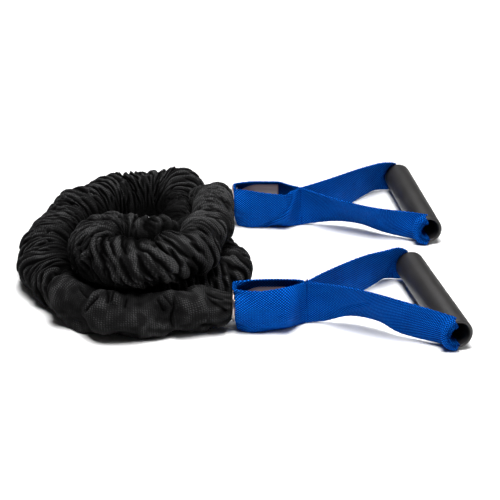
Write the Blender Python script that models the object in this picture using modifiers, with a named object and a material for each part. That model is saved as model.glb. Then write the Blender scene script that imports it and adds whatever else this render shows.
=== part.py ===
"""Resistance bungee cord: a latex tube in a gathered sleeve, coiled up, with a webbing handle at each end.

Metres, +Z up. The object lies on z = 0 as it is put away: the doubled cord coiled on the left,
the front and rear handles on the right. +X runs out of the coil along both cord ends.
"""
import math

import bmesh
import bpy
from mathutils import Matrix, Vector

# Where the frame's origin lies in the plan: midway between the outermost points of the handles.
MIDDLE_X = 0.07925
MIDDLE_Y = 0.13705

# Clearances: between pieces that touch, and between pieces that turn on each other.
SEAT_GAP = 0.0003
TURN_GAP = 0.0004

# Webbing
WEB_WIDTH = 0.038
WEB_THICKNESS = 0.0020

# Grips: plain tubes that turn on the webbing
GRIP_LENGTH = 0.130
GRIP_RADIUS = 0.0125
GRIP_WALL = 0.0026
GRIP_EDGE_ROUND = 0.0009
GRIP_AXIS_Z = 0.0148

# Latex tube
TUBE_RADIUS = 0.0080
TUBE_BORE_RADIUS = 0.0040
BULB_RADIUS = 0.0142
BULB_CONE = 0.0170
BULB_SHOULDER = 0.0066
BULB_SHOULDER_RADIUS = 0.0120
BULB_LENGTH = 0.0195

# Plug that swells each end of the tube
PLUG_RADIUS = 0.0098
PLUG_TIP_RADIUS = 0.0034
PLUG_NOSE = 0.0080
PLUG_LENGTH = 0.0240
PLUG_EDGE = 0.0010
PLUG_SETBACK = 0.0027

# Grommets, which the tube passes through
GROMMET_FLANGE_RADIUS = 0.0142
GROMMET_WALL = 0.0009
GROMMET_FLANGE = 0.0011
GROMMET_DOME = 0.0006
GROMMET_EDGE = 0.0008
GROMMET_LIP_REACH = 0.0012
WASHER_THICKNESS = 0.0010
WASHER_RADIUS = 0.0120
WASHER_EDGE = 0.0003

# Sleeve
SLEEVE_WALL = 0.0042
SLEEVE_NECK_RADIUS = 0.0122
SLEEVE_NECK_LENGTH = 0.0240
RIB_PITCH = 0.0140
RIB_DEPTH = 0.0018
FLAT_DEPTH = 0.0006
SMOOTH_STRETCH = 0.150
CORD_SIDES_RESOLUTION = 2
CORD_SIDES = 8
FINE_RINGS = 8
CUT_PAST = 0.002
NEIGHBOUR_GIRTHS = 2.1
FLOOR_CUT = 0.4

# Ties that hold the sleeve's necks on the tube
TIE_WIDTH = 0.0040
TIE_THICKNESS = 0.0010
TIE_SETBACK = 0.0030
TIE_EDGE = 0.0003

# Bore of the sleeve's necks, which clears the ties
NECK_BORE = (TUBE_RADIUS + SEAT_GAP + TIE_THICKNESS + SEAT_GAP) / math.cos(math.pi / CORD_SIDES)
NECK_BORE_LENGTH = 0.0100
NECK_RIB_SHARE = 0.4

# Tack that sews the two plies together, which is where the strap flexes
TACK_RADIUS = 0.0023
TACK_HEIGHT = 0.0340
TACK_EDGE = 0.0006
PLY_SETBACK = 0.0022  # from the tack's middle to the ends of the webbing on each side

# Cord ends: place of each grommet's axis, and the plane of the webbing that it is set in
FRONT_AXIS = (0.0150, 0.0205)
REAR_AXIS = (0.2225, 0.0235)
FRONT_FACE_X = -0.0112
REAR_FACE_X = -0.0140

# Strap tack: plan position of each
FRONT_TACK = (0.0460, 0.0225)
REAR_TACK = (0.0475, 0.2190)

# Grips: plan position of the near end's centre, and the turn of the axis about Z
FRONT_GRIP = (0.1634, -0.0262, math.radians(11.6))
REAR_GRIP = (0.1609, 0.1732, math.radians(7.5))

# Plan of each loop between tack and grommet: x, middle y, half width at the edges and at mid height.
FRONT_LOOP = [(0.0425, 0.0222, 0.0026, 0.0040), (0.0390, 0.0208, 0.0050, 0.0085),
              (0.0345, 0.0180, 0.0078, 0.0138), (0.0290, 0.0155, 0.0098, 0.0166),
              (0.0200, 0.0152, 0.0104, 0.0162), (0.0100, 0.0150, 0.0106, 0.0160),
              (0.0010, 0.0150, 0.0100, 0.0157)]
REAR_LOOP = [(0.0435, 0.2188, 0.0026, 0.0040), (0.0390, 0.2180, 0.0058, 0.0092),
             (0.0330, 0.2184, 0.0096, 0.0152), (0.0265, 0.2212, 0.0116, 0.0178),
             (0.0150, 0.2218, 0.0116, 0.0172), (0.0050, 0.2222, 0.0113, 0.0163),
             (-0.0020, 0.2225, 0.0102, 0.0157)]
LOOP_CORNER_ROUND = 0.0025
LOOP_CORNER_LEAST = 0.0050
WEB_EDGE_INSET = 0.0005

# Plies between tack and grip: x, y, height of the middle, and the lean of the top towards -Y.
FRONT_NEAR_PLY = [(0.0610, 0.0175, 0.0200, 8), (0.0790, 0.0100, 0.0235, 20),
                  (0.1000, 0.0010, 0.0240, 25), (0.1200, -0.0085, 0.0205, 18)]
FRONT_FAR_PLY = [(0.0590, 0.0370, 0.0195, 0), (0.0760, 0.0560, 0.0195, 6),
                 (0.0950, 0.0755, 0.0198, 14), (0.1100, 0.0890, 0.0198, 20)]
REAR_NEAR_PLY = [(0.0640, 0.2110, 0.0208, 22), (0.0800, 0.2045, 0.0212, 34),
                 (0.0990, 0.1965, 0.0205, 38), (0.1200, 0.1865, 0.0185, 32)]
REAR_FAR_PLY = [(0.0620, 0.2295, 0.0195, 0), (0.0790, 0.2435, 0.0197, 2),
                (0.1000, 0.2620, 0.0197, 6), (0.1180, 0.2795, 0.0197, 14)]

# Turn of the webbing's middle above the grip's left side, where it lies round the grip
WRAP_TILT = math.radians(12)
WRAP_RUN = 0.0070
WRAP_GAP = 0.0006

# Sleeve's route from the front end to the rear end: x, y, z and the crest radius of the gathers.
LOWER_Z = 0.0170
UPPER_Z = 0.0545
OUTER_RADIUS = 0.0195
INNER_RADIUS = 0.0183
PASSING_RADIUS = 0.0180
CROWDED_RADIUS = 0.0162

ROUTE_OUTER = [(-0.052, 0.0085, 0.0183, OUTER_RADIUS), (-0.077, 0.0010, LOWER_Z, OUTER_RADIUS),
               (-0.104, -0.0010, LOWER_Z, OUTER_RADIUS), (-0.127, 0.0065, LOWER_Z, OUTER_RADIUS),
               (-0.149, 0.0250, LOWER_Z, OUTER_RADIUS), (-0.167, 0.0560, LOWER_Z, OUTER_RADIUS),
               (-0.178, 0.0910, LOWER_Z, OUTER_RADIUS), (-0.181, 0.1270, LOWER_Z, OUTER_RADIUS),
               (-0.176, 0.1650, LOWER_Z, OUTER_RADIUS), (-0.163, 0.2010, LOWER_Z, OUTER_RADIUS),
               (-0.142, 0.2320, LOWER_Z, OUTER_RADIUS), (-0.117, 0.2530, LOWER_Z, OUTER_RADIUS),
               (-0.092, 0.2605, LOWER_Z, PASSING_RADIUS), (-0.0725, 0.2530, LOWER_Z, PASSING_RADIUS),
               (-0.0655, 0.2360, LOWER_Z, CROWDED_RADIUS), (-0.0678, 0.2150, LOWER_Z, CROWDED_RADIUS),
               (-0.0690, 0.1970, LOWER_Z, CROWDED_RADIUS), (-0.0690, 0.1790, LOWER_Z, PASSING_RADIUS),
               (-0.0630, 0.1605, LOWER_Z, PASSING_RADIUS), (-0.0525, 0.1435, LOWER_Z, PASSING_RADIUS),
               (-0.037, 0.1240, LOWER_Z, PASSING_RADIUS), (-0.024, 0.1040, LOWER_Z, INNER_RADIUS),
               (-0.018, 0.0850, LOWER_Z, INNER_RADIUS)]
ROUTE_LOWER = [(-0.025, 0.0660, LOWER_Z, INNER_RADIUS), (-0.042, 0.0555, LOWER_Z, INNER_RADIUS),
               (-0.064, 0.0465, LOWER_Z, INNER_RADIUS), (-0.088, 0.0420, LOWER_Z, INNER_RADIUS),
               (-0.111, 0.0470, LOWER_Z, INNER_RADIUS), (-0.126, 0.0620, LOWER_Z, INNER_RADIUS),
               (-0.130, 0.0820, LOWER_Z, INNER_RADIUS), (-0.121, 0.1000, LOWER_Z, INNER_RADIUS)]
TURN_START = (-0.1020, 0.1080, LOWER_Z)
TURN_END = (-0.1020, 0.0800, 0.0530)
ROUTE_UPPER = [(-0.118, 0.0740, UPPER_Z, INNER_RADIUS), (-0.128, 0.0590, UPPER_Z, INNER_RADIUS),
               (-0.127, 0.0400, UPPER_Z, INNER_RADIUS), (-0.114, 0.0240, UPPER_Z, INNER_RADIUS),
               (-0.093, 0.0170, UPPER_Z, INNER_RADIUS), (-0.072, 0.0200, UPPER_Z, INNER_RADIUS),
               (-0.053, 0.0350, UPPER_Z, INNER_RADIUS), (-0.040, 0.0640, UPPER_Z, INNER_RADIUS),
               (-0.033, 0.0960, UPPER_Z, INNER_RADIUS), (-0.0300, 0.1270, 0.0540, INNER_RADIUS),
               (-0.0300, 0.1500, 0.0485, 0.0180), (-0.0330, 0.1720, 0.0412, 0.0170),
               (-0.0390, 0.1900, 0.0348, 0.0152), (-0.0412, 0.2050, 0.0295, 0.0134),
               (-0.0374, 0.2172, 0.0257, 0.0124)]
END_STRAIGHT_FRONT = 0.0240
END_STRAIGHT_REAR = 0.0100

# Facets
TURN_STEPS = 20
BAND_ACROSS = 7
BAND_STEP = 0.0090


def plan(x, y, z):
    """A point of the plan as a point of the object's frame."""
    return Vector((x - MIDDLE_X, y - MIDDLE_Y, z))


def clear_scene():
    for thing in list(bpy.data.objects):
        bpy.data.objects.remove(thing, do_unlink=True)


def new_collection(name):
    made = bpy.data.collections.new(name)
    bpy.context.scene.collection.children.link(made)
    return made


def surface(name, colour, roughness, metallic=0.0):
    made = bpy.data.materials.new(name)
    made.use_nodes = True
    shader = made.node_tree.nodes["Principled BSDF"]
    shader.inputs["Base Color"].default_value = (*colour, 1.0)
    shader.inputs["Roughness"].default_value = roughness
    shader.inputs["Metallic"].default_value = metallic
    return made


def add_object(name, data, collection):
    made = bpy.data.objects.new(name, data)
    collection.objects.link(made)
    return made


def smooth_curve(points, step):
    """A smooth curve through points of any dimension, read at about equal steps of its 3-D length."""
    rows = [Vector(p) for p in points]
    fine = []
    for i in range(len(rows) - 1):
        before = rows[i - 1] if i > 0 else rows[i] * 2 - rows[i + 1]
        after = rows[i + 2] if i + 2 < len(rows) else rows[i + 1] * 2 - rows[i]
        for k in range(24):
            t = k / 24
            fine.append(0.5 * (2 * rows[i] + (rows[i + 1] - before) * t
                               + (2 * before - 5 * rows[i] + 4 * rows[i + 1] - after) * t ** 2
                               + (3 * rows[i] - before - 3 * rows[i + 1] + after) * t ** 3))
    fine.append(rows[-1])
    along = [0.0]
    for a, b in zip(fine, fine[1:]):
        along.append(along[-1] + (b.to_3d() - a.to_3d()).length)
    count = max(1, round(along[-1] / step))
    even = []
    k = 0
    for i in range(count + 1):
        target = along[-1] * i / count
        while k < len(along) - 2 and along[k + 1] < target:
            k += 1
        share = (target - along[k]) / max(along[k + 1] - along[k], 1e-9)
        even.append(fine[k].lerp(fine[k + 1], min(1.0, share)))
    return even, along[-1]


def cord_mesh(name, points, radii, collection):
    """A round tube along points, as one closed mesh object."""
    curve = bpy.data.curves.new(name, "CURVE")
    curve.dimensions = "3D"
    curve.bevel_depth = 1.0
    curve.bevel_resolution = CORD_SIDES_RESOLUTION
    curve.use_fill_caps = True
    spline = curve.splines.new("POLY")
    spline.points.add(len(points) - 1)
    for place, point, radius in zip(spline.points, points, radii):
        place.co = (point[0], point[1], point[2], 1.0)
        place.radius = radius
    drawn = add_object(name + "_curve", curve, collection)
    bpy.context.view_layer.update()
    evaluated = drawn.evaluated_get(bpy.context.evaluated_depsgraph_get())
    mesh = bpy.data.meshes.new_from_object(evaluated)
    cage = bmesh.new()
    cage.from_mesh(mesh)
    bmesh.ops.remove_doubles(cage, verts=cage.verts, dist=0.00001)
    bmesh.ops.recalc_face_normals(cage, faces=cage.faces)
    cage.to_mesh(mesh)
    cage.free()
    made = add_object(name, mesh, collection)
    made.matrix_world = drawn.matrix_world
    bpy.data.objects.remove(drawn, do_unlink=True)
    mesh.shade_smooth()
    return made


def turned(name, profile, collection, steps=TURN_STEPS, closed=True):
    """A profile of (radius, height) turned about the local Z axis; an open one starts and ends on it."""
    mesh = bpy.data.meshes.new(name)
    edges = [(i, i + 1) for i in range(len(profile) - 1)]
    if closed:
        edges.append((len(profile) - 1, 0))
    mesh.from_pydata([(r, 0.0, z) for r, z in profile], edges, [])
    made = add_object(name, mesh, collection)
    screw = made.modifiers.new("Turn", "SCREW")
    screw.steps = steps
    screw.render_steps = steps
    screw.use_merge_vertices = True
    screw.merge_threshold = 0.00001
    screw.use_smooth_shade = True
    return made


def point_along_x(made, place):
    """Lays a turned piece's axis along +X, with its base at place."""
    made.location = place
    made.rotation_euler = (0.0, math.pi / 2, 0.0)


def cut(made, cutter):
    """Cuts one object out of another and keeps the cutter as a guide."""
    cutter.hide_render = True
    cutter.display_type = "WIRE"
    boolean = made.modifiers.new("Cut", "BOOLEAN")
    boolean.operation = "DIFFERENCE"
    boolean.solver = "EXACT"
    boolean.object = cutter


def arc(centre, radius, start, end, count):
    """Points of a round corner in a profile, angles in degrees."""
    found = []
    for i in range(count + 1):
        angle = math.radians(start + (end - start) * i / count)
        found.append((centre[0] + radius * math.cos(angle), centre[1] + radius * math.sin(angle)))
    return found


def band(name, sections, collection):
    """A strip of webbing through sections, each a row of points across its width."""
    rows = [[section[j] for section in sections] for j in range(BAND_ACROSS)]
    stations = strip_stations(rows[BAND_ACROSS // 2])
    mesh = bpy.data.meshes.new(name)
    cage = bmesh.new()
    grid = [[cage.verts.new(curve_at(row, t)) for t in stations] for row in rows]
    for j in range(BAND_ACROSS - 1):
        for i in range(len(stations) - 1):
            cage.faces.new((grid[j][i], grid[j][i + 1], grid[j + 1][i + 1], grid[j + 1][i]))
    cage.to_mesh(mesh)
    cage.free()
    mesh.shade_smooth()
    made = add_object(name, mesh, collection)
    shell = made.modifiers.new("Thickness", "SOLIDIFY")
    shell.thickness = WEB_THICKNESS
    shell.offset = 0.0
    return made


def strip_stations(points):
    """Places along a row of points, in units of its points, about BAND_STEP apart."""
    found = []
    for i, (a, b) in enumerate(zip(points, points[1:])):
        count = max(1, round((b - a).length / BAND_STEP))
        found += [i + k / count for k in range(count)]
    return found + [float(len(points) - 1)]


def curve_at(points, t):
    """A point of the smooth curve through points, at t in units of its points."""
    i = min(int(t), len(points) - 2)
    t -= i
    before = points[i - 1] if i > 0 else points[i] * 2 - points[i + 1]
    after = points[i + 2] if i + 2 < len(points) else points[i + 1] * 2 - points[i]
    return 0.5 * (2 * points[i] + (points[i + 1] - before) * t
                  + (2 * before - 5 * points[i] + 4 * points[i + 1] - after) * t ** 2
                  + (3 * points[i] - before - 3 * points[i + 1] + after) * t ** 3)


def across():
    """The places across the webbing, -1 at the bottom edge to 1 at the top edge."""
    return [2 * j / (BAND_ACROSS - 1) - 1 for j in range(BAND_ACROSS)]


def edge_height(w):
    """Height of the place w across webbing that stands on its edge."""
    return WEB_WIDTH / 2 + (WEB_WIDTH / 2 - WEB_EDGE_INSET) * w


def loop_sections(loop, tack, face_x, axis):
    """Sections of a loop, from the tack along the front, round the grommet's face and back to the tack."""
    ply = WEB_THICKNESS / 2 + SEAT_GAP / 2

    def side(sign):
        rows = [[plan(tack[0] - PLY_SETBACK, tack[1] + sign * ply, edge_height(w)) for w in across()]]
        for x, y, edge, mid in loop:
            rows.append([plan(x, y + sign * (edge + (mid - edge) * (1 - w * w)), edge_height(w))
                         for w in across()])
        return rows

    front = side(-1)
    back = side(1)
    reach = WASHER_RADIUS + LOOP_CORNER_ROUND / 2

    def corner(sign, degrees):
        turn = math.radians(degrees)
        row = []
        for w in across():
            z = edge_height(w)
            half = math.sqrt(max(LOOP_CORNER_LEAST ** 2, reach ** 2 - (z - axis[1]) ** 2))
            row.append(plan(face_x + LOOP_CORNER_ROUND * (1 - math.cos(turn)),
                            axis[0] + sign * (half + LOOP_CORNER_ROUND * math.sin(turn)), z))
        return row

    face = [corner(-1, 90), corner(-1, 45), corner(-1, 0), corner(1, 0), corner(1, 45), corner(1, 90)]
    return front + face + back[::-1]


def ply_section(x, y, z, lean, heading):
    """A flat section of webbing across a heading in plan, its top leaning to the right of it."""
    lean = math.radians(lean)
    right = Vector((math.sin(heading), -math.cos(heading), 0.0))
    up = Vector((0.0, 0.0, 1.0)) * math.cos(lean) + right * math.sin(lean)
    return [plan(x, y, z) + up * (w * (WEB_WIDTH / 2 - WEB_EDGE_INSET)) for w in across()]


def wrap_section(grip, along, radius, tilt):
    """A section of webbing curled round the grip's axis, on the side of the cord."""
    x, y, turn = grip
    out = Vector((math.sin(turn), -math.cos(turn), 0.0))
    left = Vector((-math.cos(turn), -math.sin(turn), 0.0))
    centre = plan(x, y, GRIP_AXIS_Z) + out * along
    reach = WEB_WIDTH / 2 / radius
    found = []
    for w in across():
        angle = tilt + reach * w
        found.append(centre + (left * math.cos(angle) + Vector((0.0, 0.0, 1.0)) * math.sin(angle)) * radius)
    return found


def rim_sections(grip, near):
    """Sections from the grip's outside over one rim and into its bore."""
    outside = GRIP_RADIUS + WEB_THICKNESS / 2 + WRAP_GAP
    inside = GRIP_RADIUS - GRIP_WALL - WEB_THICKNESS / 2 - WRAP_GAP
    middle = (outside + inside) / 2
    fold = (outside - inside) / 2
    rows = [(-WRAP_RUN, outside)]
    for degrees in (0, 45, 90, 135, 180):
        angle = math.radians(degrees)
        rows.append((fold * math.sin(angle) - SEAT_GAP, middle + fold * math.cos(angle)))
    rows.append((-WRAP_RUN, inside))
    found = []
    for depth, radius in rows:
        along = depth if near else -GRIP_LENGTH - depth
        tilt = WRAP_TILT if radius > middle else WRAP_TILT * radius / outside
        found.append(wrap_section(grip, along, radius, tilt))
    return found


def handle_sections(tack, near_ply, far_ply, grip):
    """Sections of a handle strap: tack, front ply, through the grip, back ply, tack."""
    ply = WEB_THICKNESS / 2 + SEAT_GAP / 2

    def plies(points, sign):
        rows = [[plan(tack[0] + PLY_SETBACK, tack[1] + sign * ply, edge_height(w)) for w in across()]]
        places = [(tack[0] + PLY_SETBACK, tack[1])] + [p[:2] for p in points]
        for i, (x, y, z, lean) in enumerate(points):
            heading = math.atan2(y - places[i][1], x - places[i][0])
            rows.append(ply_section(x, y, z, lean, heading))
        return rows

    near = plies(near_ply, -1)
    far = plies(far_ply, 1)
    return near + rim_sections(grip, True) + rim_sections(grip, False)[::-1] + far[::-1]


def tack_cutter(name, tack, collection):
    """The round gap that the tack stands in, so that the strap can flex about it."""
    cutter = cylinder(name, TACK_RADIUS + SEAT_GAP, WEB_WIDTH + 2 * CUT_PAST, collection)
    cutter.location = plan(tack[0], tack[1], WEB_WIDTH / 2)
    return cutter


def cylinder(name, radius, height, collection, sides=24):
    mesh = bpy.data.meshes.new(name)
    cage = bmesh.new()
    bmesh.ops.create_cone(cage, cap_ends=True, segments=sides, radius1=radius, radius2=radius, depth=height)
    cage.to_mesh(mesh)
    cage.free()
    return add_object(name, mesh, collection)


def slab(name, low, high, collection):
    mesh = bpy.data.meshes.new(name)
    cage = bmesh.new()
    bmesh.ops.create_cube(cage, size=1.0)
    size = [high[i] - low[i] for i in range(3)]
    bmesh.ops.scale(cage, vec=size, verts=cage.verts)
    bmesh.ops.translate(cage, vec=[(high[i] + low[i]) / 2 for i in range(3)], verts=cage.verts)
    cage.to_mesh(mesh)
    cage.free()
    return add_object(name, mesh, collection)


def grip_profile():
    """Wall of the grip from its near end at 0 to its far end, with rounded edges."""
    inner = GRIP_RADIUS - GRIP_WALL
    r = GRIP_EDGE_ROUND
    top, low = GRIP_LENGTH, 0.0
    return (arc((GRIP_RADIUS - r, top - r), r, 90, 0, 2) + arc((GRIP_RADIUS - r, low + r), r, 0, -90, 2)
            + arc((inner + r, low + r), r, 270, 180, 2) + arc((inner + r, top - r), r, 180, 90, 2))


def make_grip(name, grip, finish, collection):
    """A plain round tube whose axis is the grip's axis; its origin is the near end's centre."""
    made = turned(name, grip_profile(), collection)
    x, y, turn = grip
    made.location = plan(x, y, GRIP_AXIS_Z)
    made.rotation_euler = (-math.pi / 2, 0.0, turn)
    made.data.materials.append(finish)
    return made


def make_grommet(name, face_x, axis, finish, collection):
    """Eyelet with a domed flange on the sleeve's side, a barrel and a lip rolled over the washer."""
    hole = TUBE_RADIUS + TURN_GAP
    barrel = hole + GROMMET_WALL
    back = -WEB_THICKNESS / 2 - SEAT_GAP
    front = back - GROMMET_FLANGE
    crown = (hole + GROMMET_FLANGE_RADIUS) / 2
    lip = -back + WASHER_THICKNESS + SEAT_GAP
    lip_edge = barrel + GROMMET_LIP_REACH
    rim = GROMMET_FLANGE_RADIUS
    profile = [(hole, lip + GROMMET_WALL / 2), (barrel, lip + GROMMET_WALL),
               (lip_edge, lip + GROMMET_WALL / 2), (lip_edge, lip), (barrel, lip), (barrel, back),
               (rim - GROMMET_EDGE / 2, back), (rim, (back + front) / 2), (rim - GROMMET_EDGE, front),
               (crown, front - GROMMET_DOME), (hole + GROMMET_EDGE, front), (hole, (back + front) / 2)]
    made = turned(name, profile, collection)
    point_along_x(made, plan(face_x, axis[0], axis[1]))
    made.data.materials.append(finish)
    return made


def grommet_front_x(face_x):
    """Plane of the grommet's foremost metal on the sleeve's side."""
    return face_x - WEB_THICKNESS / 2 - SEAT_GAP - GROMMET_FLANGE - GROMMET_DOME


def bulb_start_x(face_x):
    """Where the tube starts to widen: just past the lip rolled over the washer."""
    lip = WEB_THICKNESS / 2 + SEAT_GAP + WASHER_THICKNESS + SEAT_GAP + GROMMET_WALL
    return face_x + lip + SEAT_GAP


def make_washer(name, face_x, axis, finish, collection):
    low = WEB_THICKNESS / 2 + SEAT_GAP
    inner = TUBE_RADIUS + TURN_GAP + GROMMET_WALL + SEAT_GAP
    high = low + WASHER_THICKNESS
    profile = [(inner, high), (WASHER_RADIUS - WASHER_EDGE, high), (WASHER_RADIUS, high - WASHER_EDGE),
               (WASHER_RADIUS, low), (inner, low)]
    made = turned(name, profile, collection)
    point_along_x(made, plan(face_x, axis[0], axis[1]))
    made.data.materials.append(finish)
    return made


def make_plug(name, face_x, axis, finish, collection):
    """Cone-nosed plug that swells the tube's end so that it can't slip back through the grommet."""
    profile = [(0.0, PLUG_LENGTH), (PLUG_RADIUS - PLUG_EDGE, PLUG_LENGTH),
               (PLUG_RADIUS, PLUG_LENGTH - PLUG_EDGE), (PLUG_RADIUS, PLUG_NOSE),
               (PLUG_TIP_RADIUS, 0.0), (0.0, 0.0)]
    made = turned(name, profile, collection, closed=False)
    tip = bulb_start_x(face_x) + BULB_CONE + BULB_LENGTH - PLUG_SETBACK - PLUG_LENGTH
    point_along_x(made, plan(tip, axis[0], axis[1]))
    made.data.materials.append(finish)
    return made


def make_tie(name, face_x, axis, finish, collection):
    """Binding round the tube inside the sleeve's neck."""
    inner = TUBE_RADIUS + SEAT_GAP
    outer = inner + TIE_THICKNESS
    profile = [(outer - TIE_EDGE, TIE_WIDTH), (outer, TIE_WIDTH - TIE_EDGE), (outer, TIE_EDGE),
               (outer - TIE_EDGE, 0.0), (inner, 0.0), (inner, TIE_WIDTH)]
    made = turned(name, profile, collection)
    point_along_x(made, plan(grommet_front_x(face_x) - TIE_SETBACK - TIE_WIDTH, axis[0], axis[1]))
    made.data.materials.append(finish)
    return made


def make_tack(name, tack, finish, collection):
    """Dense upright tack of thread that joins the two plies."""
    made = cylinder(name, TACK_RADIUS, TACK_HEIGHT, collection, sides=16)
    made.location = plan(tack[0], tack[1], WEB_WIDTH / 2)
    bevel = made.modifiers.new("Edges", "BEVEL")
    bevel.width = TACK_EDGE
    bevel.segments = 1
    bevel.limit_method = "ANGLE"
    made.data.shade_smooth()
    made.data.materials.append(finish)
    return made


def cord_route():
    """Centre line of the cord from the front grommet to the rear one, each point with its crest radius."""
    front = grommet_front_x(FRONT_FACE_X) - SEAT_GAP
    rear = grommet_front_x(REAR_FACE_X) - SEAT_GAP
    start = [(front - END_STRAIGHT_FRONT * t, *FRONT_AXIS, OUTER_RADIUS) for t in (0.0, 0.5, 1.0)]
    end = [(rear - END_STRAIGHT_REAR * t, *REAR_AXIS, SLEEVE_NECK_RADIUS) for t in (1.0, 0.5, 0.0)]
    low = Vector(TURN_START)
    high = Vector(TURN_END)
    middle = (low + high) / 2
    reach = (high - low).length / 2
    turn = []
    for degrees in range(0, 181, 30):
        angle = math.radians(degrees)
        place = middle - (high - low) / 2 * math.cos(angle)
        place.x += reach * math.sin(angle)
        turn.append((*place, INNER_RADIUS))
    rows = start + ROUTE_OUTER + ROUTE_LOWER + turn + ROUTE_UPPER + end
    return [(*plan(*row[:3]), row[3]) for row in rows]


def cord_points(route, step):
    """Points of the cord's centre line at about equal steps, straight in front of each grommet."""
    even, length = smooth_curve(route, step)
    for i, point in enumerate(even):
        along = length * i / (len(even) - 1)
        if along <= END_STRAIGHT_FRONT:
            point[1:3] = even[0][1:3]
        if length - along <= END_STRAIGHT_REAR:
            point[1:3] = even[-1][1:3]
    return even, length


def neck_share(distance):
    """0 at a grommet to 1 where the sleeve has its full girth."""
    t = min(1.0, max(0.0, distance / SLEEVE_NECK_LENGTH))
    return math.sin(t * math.pi / 2)


def sleeve_radii(length, crest):
    """Crest and valley radii by turns, with a drawn-in neck at each end."""
    found = []
    for i, full in enumerate(crest):
        along = length * i / (len(crest) - 1)
        share = neck_share(min(along, length - along))
        radius = SLEEVE_NECK_RADIUS + (full - SLEEVE_NECK_RADIUS) * share
        depth = FLAT_DEPTH if along < SMOOTH_STRETCH else RIB_DEPTH
        found.append(radius - (min(depth, NECK_RIB_SHARE * (radius - NECK_BORE)) if i % 2 else 0.0))
    return found


def least_self_gap(points, radii):
    """Least gap between stretches of the cord that aren't neighbours along it."""
    places = [p.to_3d() for p in points]
    steps = [(b - a).length for a, b in zip(places, places[1:])]
    least = math.inf
    for i, a in enumerate(places):
        between = 0.0
        for k in range(i + 1, len(places)):
            between += steps[k - 1]
            if between > NEIGHBOUR_GIRTHS * (radii[i] + radii[k]):
                least = min(least, (places[k] - a).length - radii[i] - radii[k])
    return least


def make_sleeve(route, finish, collection, cutters):
    even, length = cord_points(route, RIB_PITCH / 2)
    crest = [p[3] for p in even]
    radii = sleeve_radii(length, crest)
    made = cord_mesh("sleeve", even, radii, collection)
    made.data.materials.append(finish)
    chosen = ring_choice(len(even), 2)
    bore_radii = []
    for i in chosen:
        along = length * i / (len(even) - 1)
        share = neck_share(min(along, length - along) - NECK_BORE_LENGTH)
        bore_radii.append(NECK_BORE + max(0.0, crest[i] - SLEEVE_WALL - NECK_BORE) * share)
    bore_points = extend_ends([even[i] for i in chosen], CUT_PAST)
    bore_radii = [bore_radii[0]] + bore_radii + [bore_radii[-1]]
    cut(made, cord_mesh("sleeve_bore", bore_points, bore_radii, cutters))
    floor = slab("floor_cut", (-FLOOR_CUT, -FLOOR_CUT, -FLOOR_CUT), (FLOOR_CUT, FLOOR_CUT, 0.0), cutters)
    cut(made, floor)
    gap = least_self_gap(even, radii)
    print(f"sleeve length {length * 1000:.0f} mm, least gap to itself {gap * 1000:.2f} mm")
    return made


def ring_choice(count, spare):
    """Which of the fine points carry a ring: all near the ends, and every so many between."""
    return [i for i in range(count) if i < FINE_RINGS or i >= count - FINE_RINGS or i % spare == 0]


def extend_ends(points, reach):
    """The same points with one more beyond each end."""
    first = points[0].to_3d() + (points[0].to_3d() - points[1].to_3d()).normalized() * reach
    last = points[-1].to_3d() + (points[-1].to_3d() - points[-2].to_3d()).normalized() * reach
    return [first] + [p.to_3d() for p in points] + [last]


def make_tube(route, finish, collection, cutters):
    """Latex tube along the whole cord, swollen over the plug beyond each grommet."""
    fine, length = cord_points(route, RIB_PITCH / 2)
    points = [fine[i].to_3d() for i in ring_choice(len(fine), 3)]
    front_bulb = bulb_rows(FRONT_FACE_X, FRONT_AXIS)
    rear_bulb = bulb_rows(REAR_FACE_X, REAR_AXIS)
    rows = front_bulb[::-1] + [(p, TUBE_RADIUS, TUBE_BORE_RADIUS) for p in points] + rear_bulb
    made = cord_mesh("elastic_tube", [p for p, _, _ in rows], [r for _, r, _ in rows], collection)
    made.data.materials.append(finish)
    bore_points = extend_ends([p for p, _, _ in rows], CUT_PAST)
    bore_radii = [rows[0][2]] + [b for _, _, b in rows] + [rows[-1][2]]
    cut(made, cord_mesh("tube_bore", bore_points, bore_radii, cutters))
    whole = length + 2 * (BULB_LENGTH + BULB_CONE)
    print(f"tube length {whole * 1000:.0f} mm")
    return made


def bulb_rows(face_x, axis):
    """Points, outer radii and bore radii of the tube's end beyond the sleeve."""
    start = bulb_start_x(face_x)
    pocket = (PLUG_RADIUS + SEAT_GAP) / math.cos(math.pi / CORD_SIDES)
    nose = start + BULB_CONE + BULB_LENGTH - PLUG_SETBACK - PLUG_LENGTH
    opened = (start + BULB_SHOULDER - nose) / PLUG_NOSE
    shoulder_bore = TUBE_BORE_RADIUS + (pocket - TUBE_BORE_RADIUS) * opened
    rows = [(start, TUBE_RADIUS, TUBE_BORE_RADIUS),
            (start + BULB_SHOULDER, BULB_SHOULDER_RADIUS, max(TUBE_BORE_RADIUS, shoulder_bore)),
            (start + BULB_CONE, BULB_RADIUS, pocket),
            (start + BULB_CONE + BULB_LENGTH, BULB_RADIUS, pocket)]
    return [(plan(x, axis[0], axis[1]), r, b) for x, r, b in rows]


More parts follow.
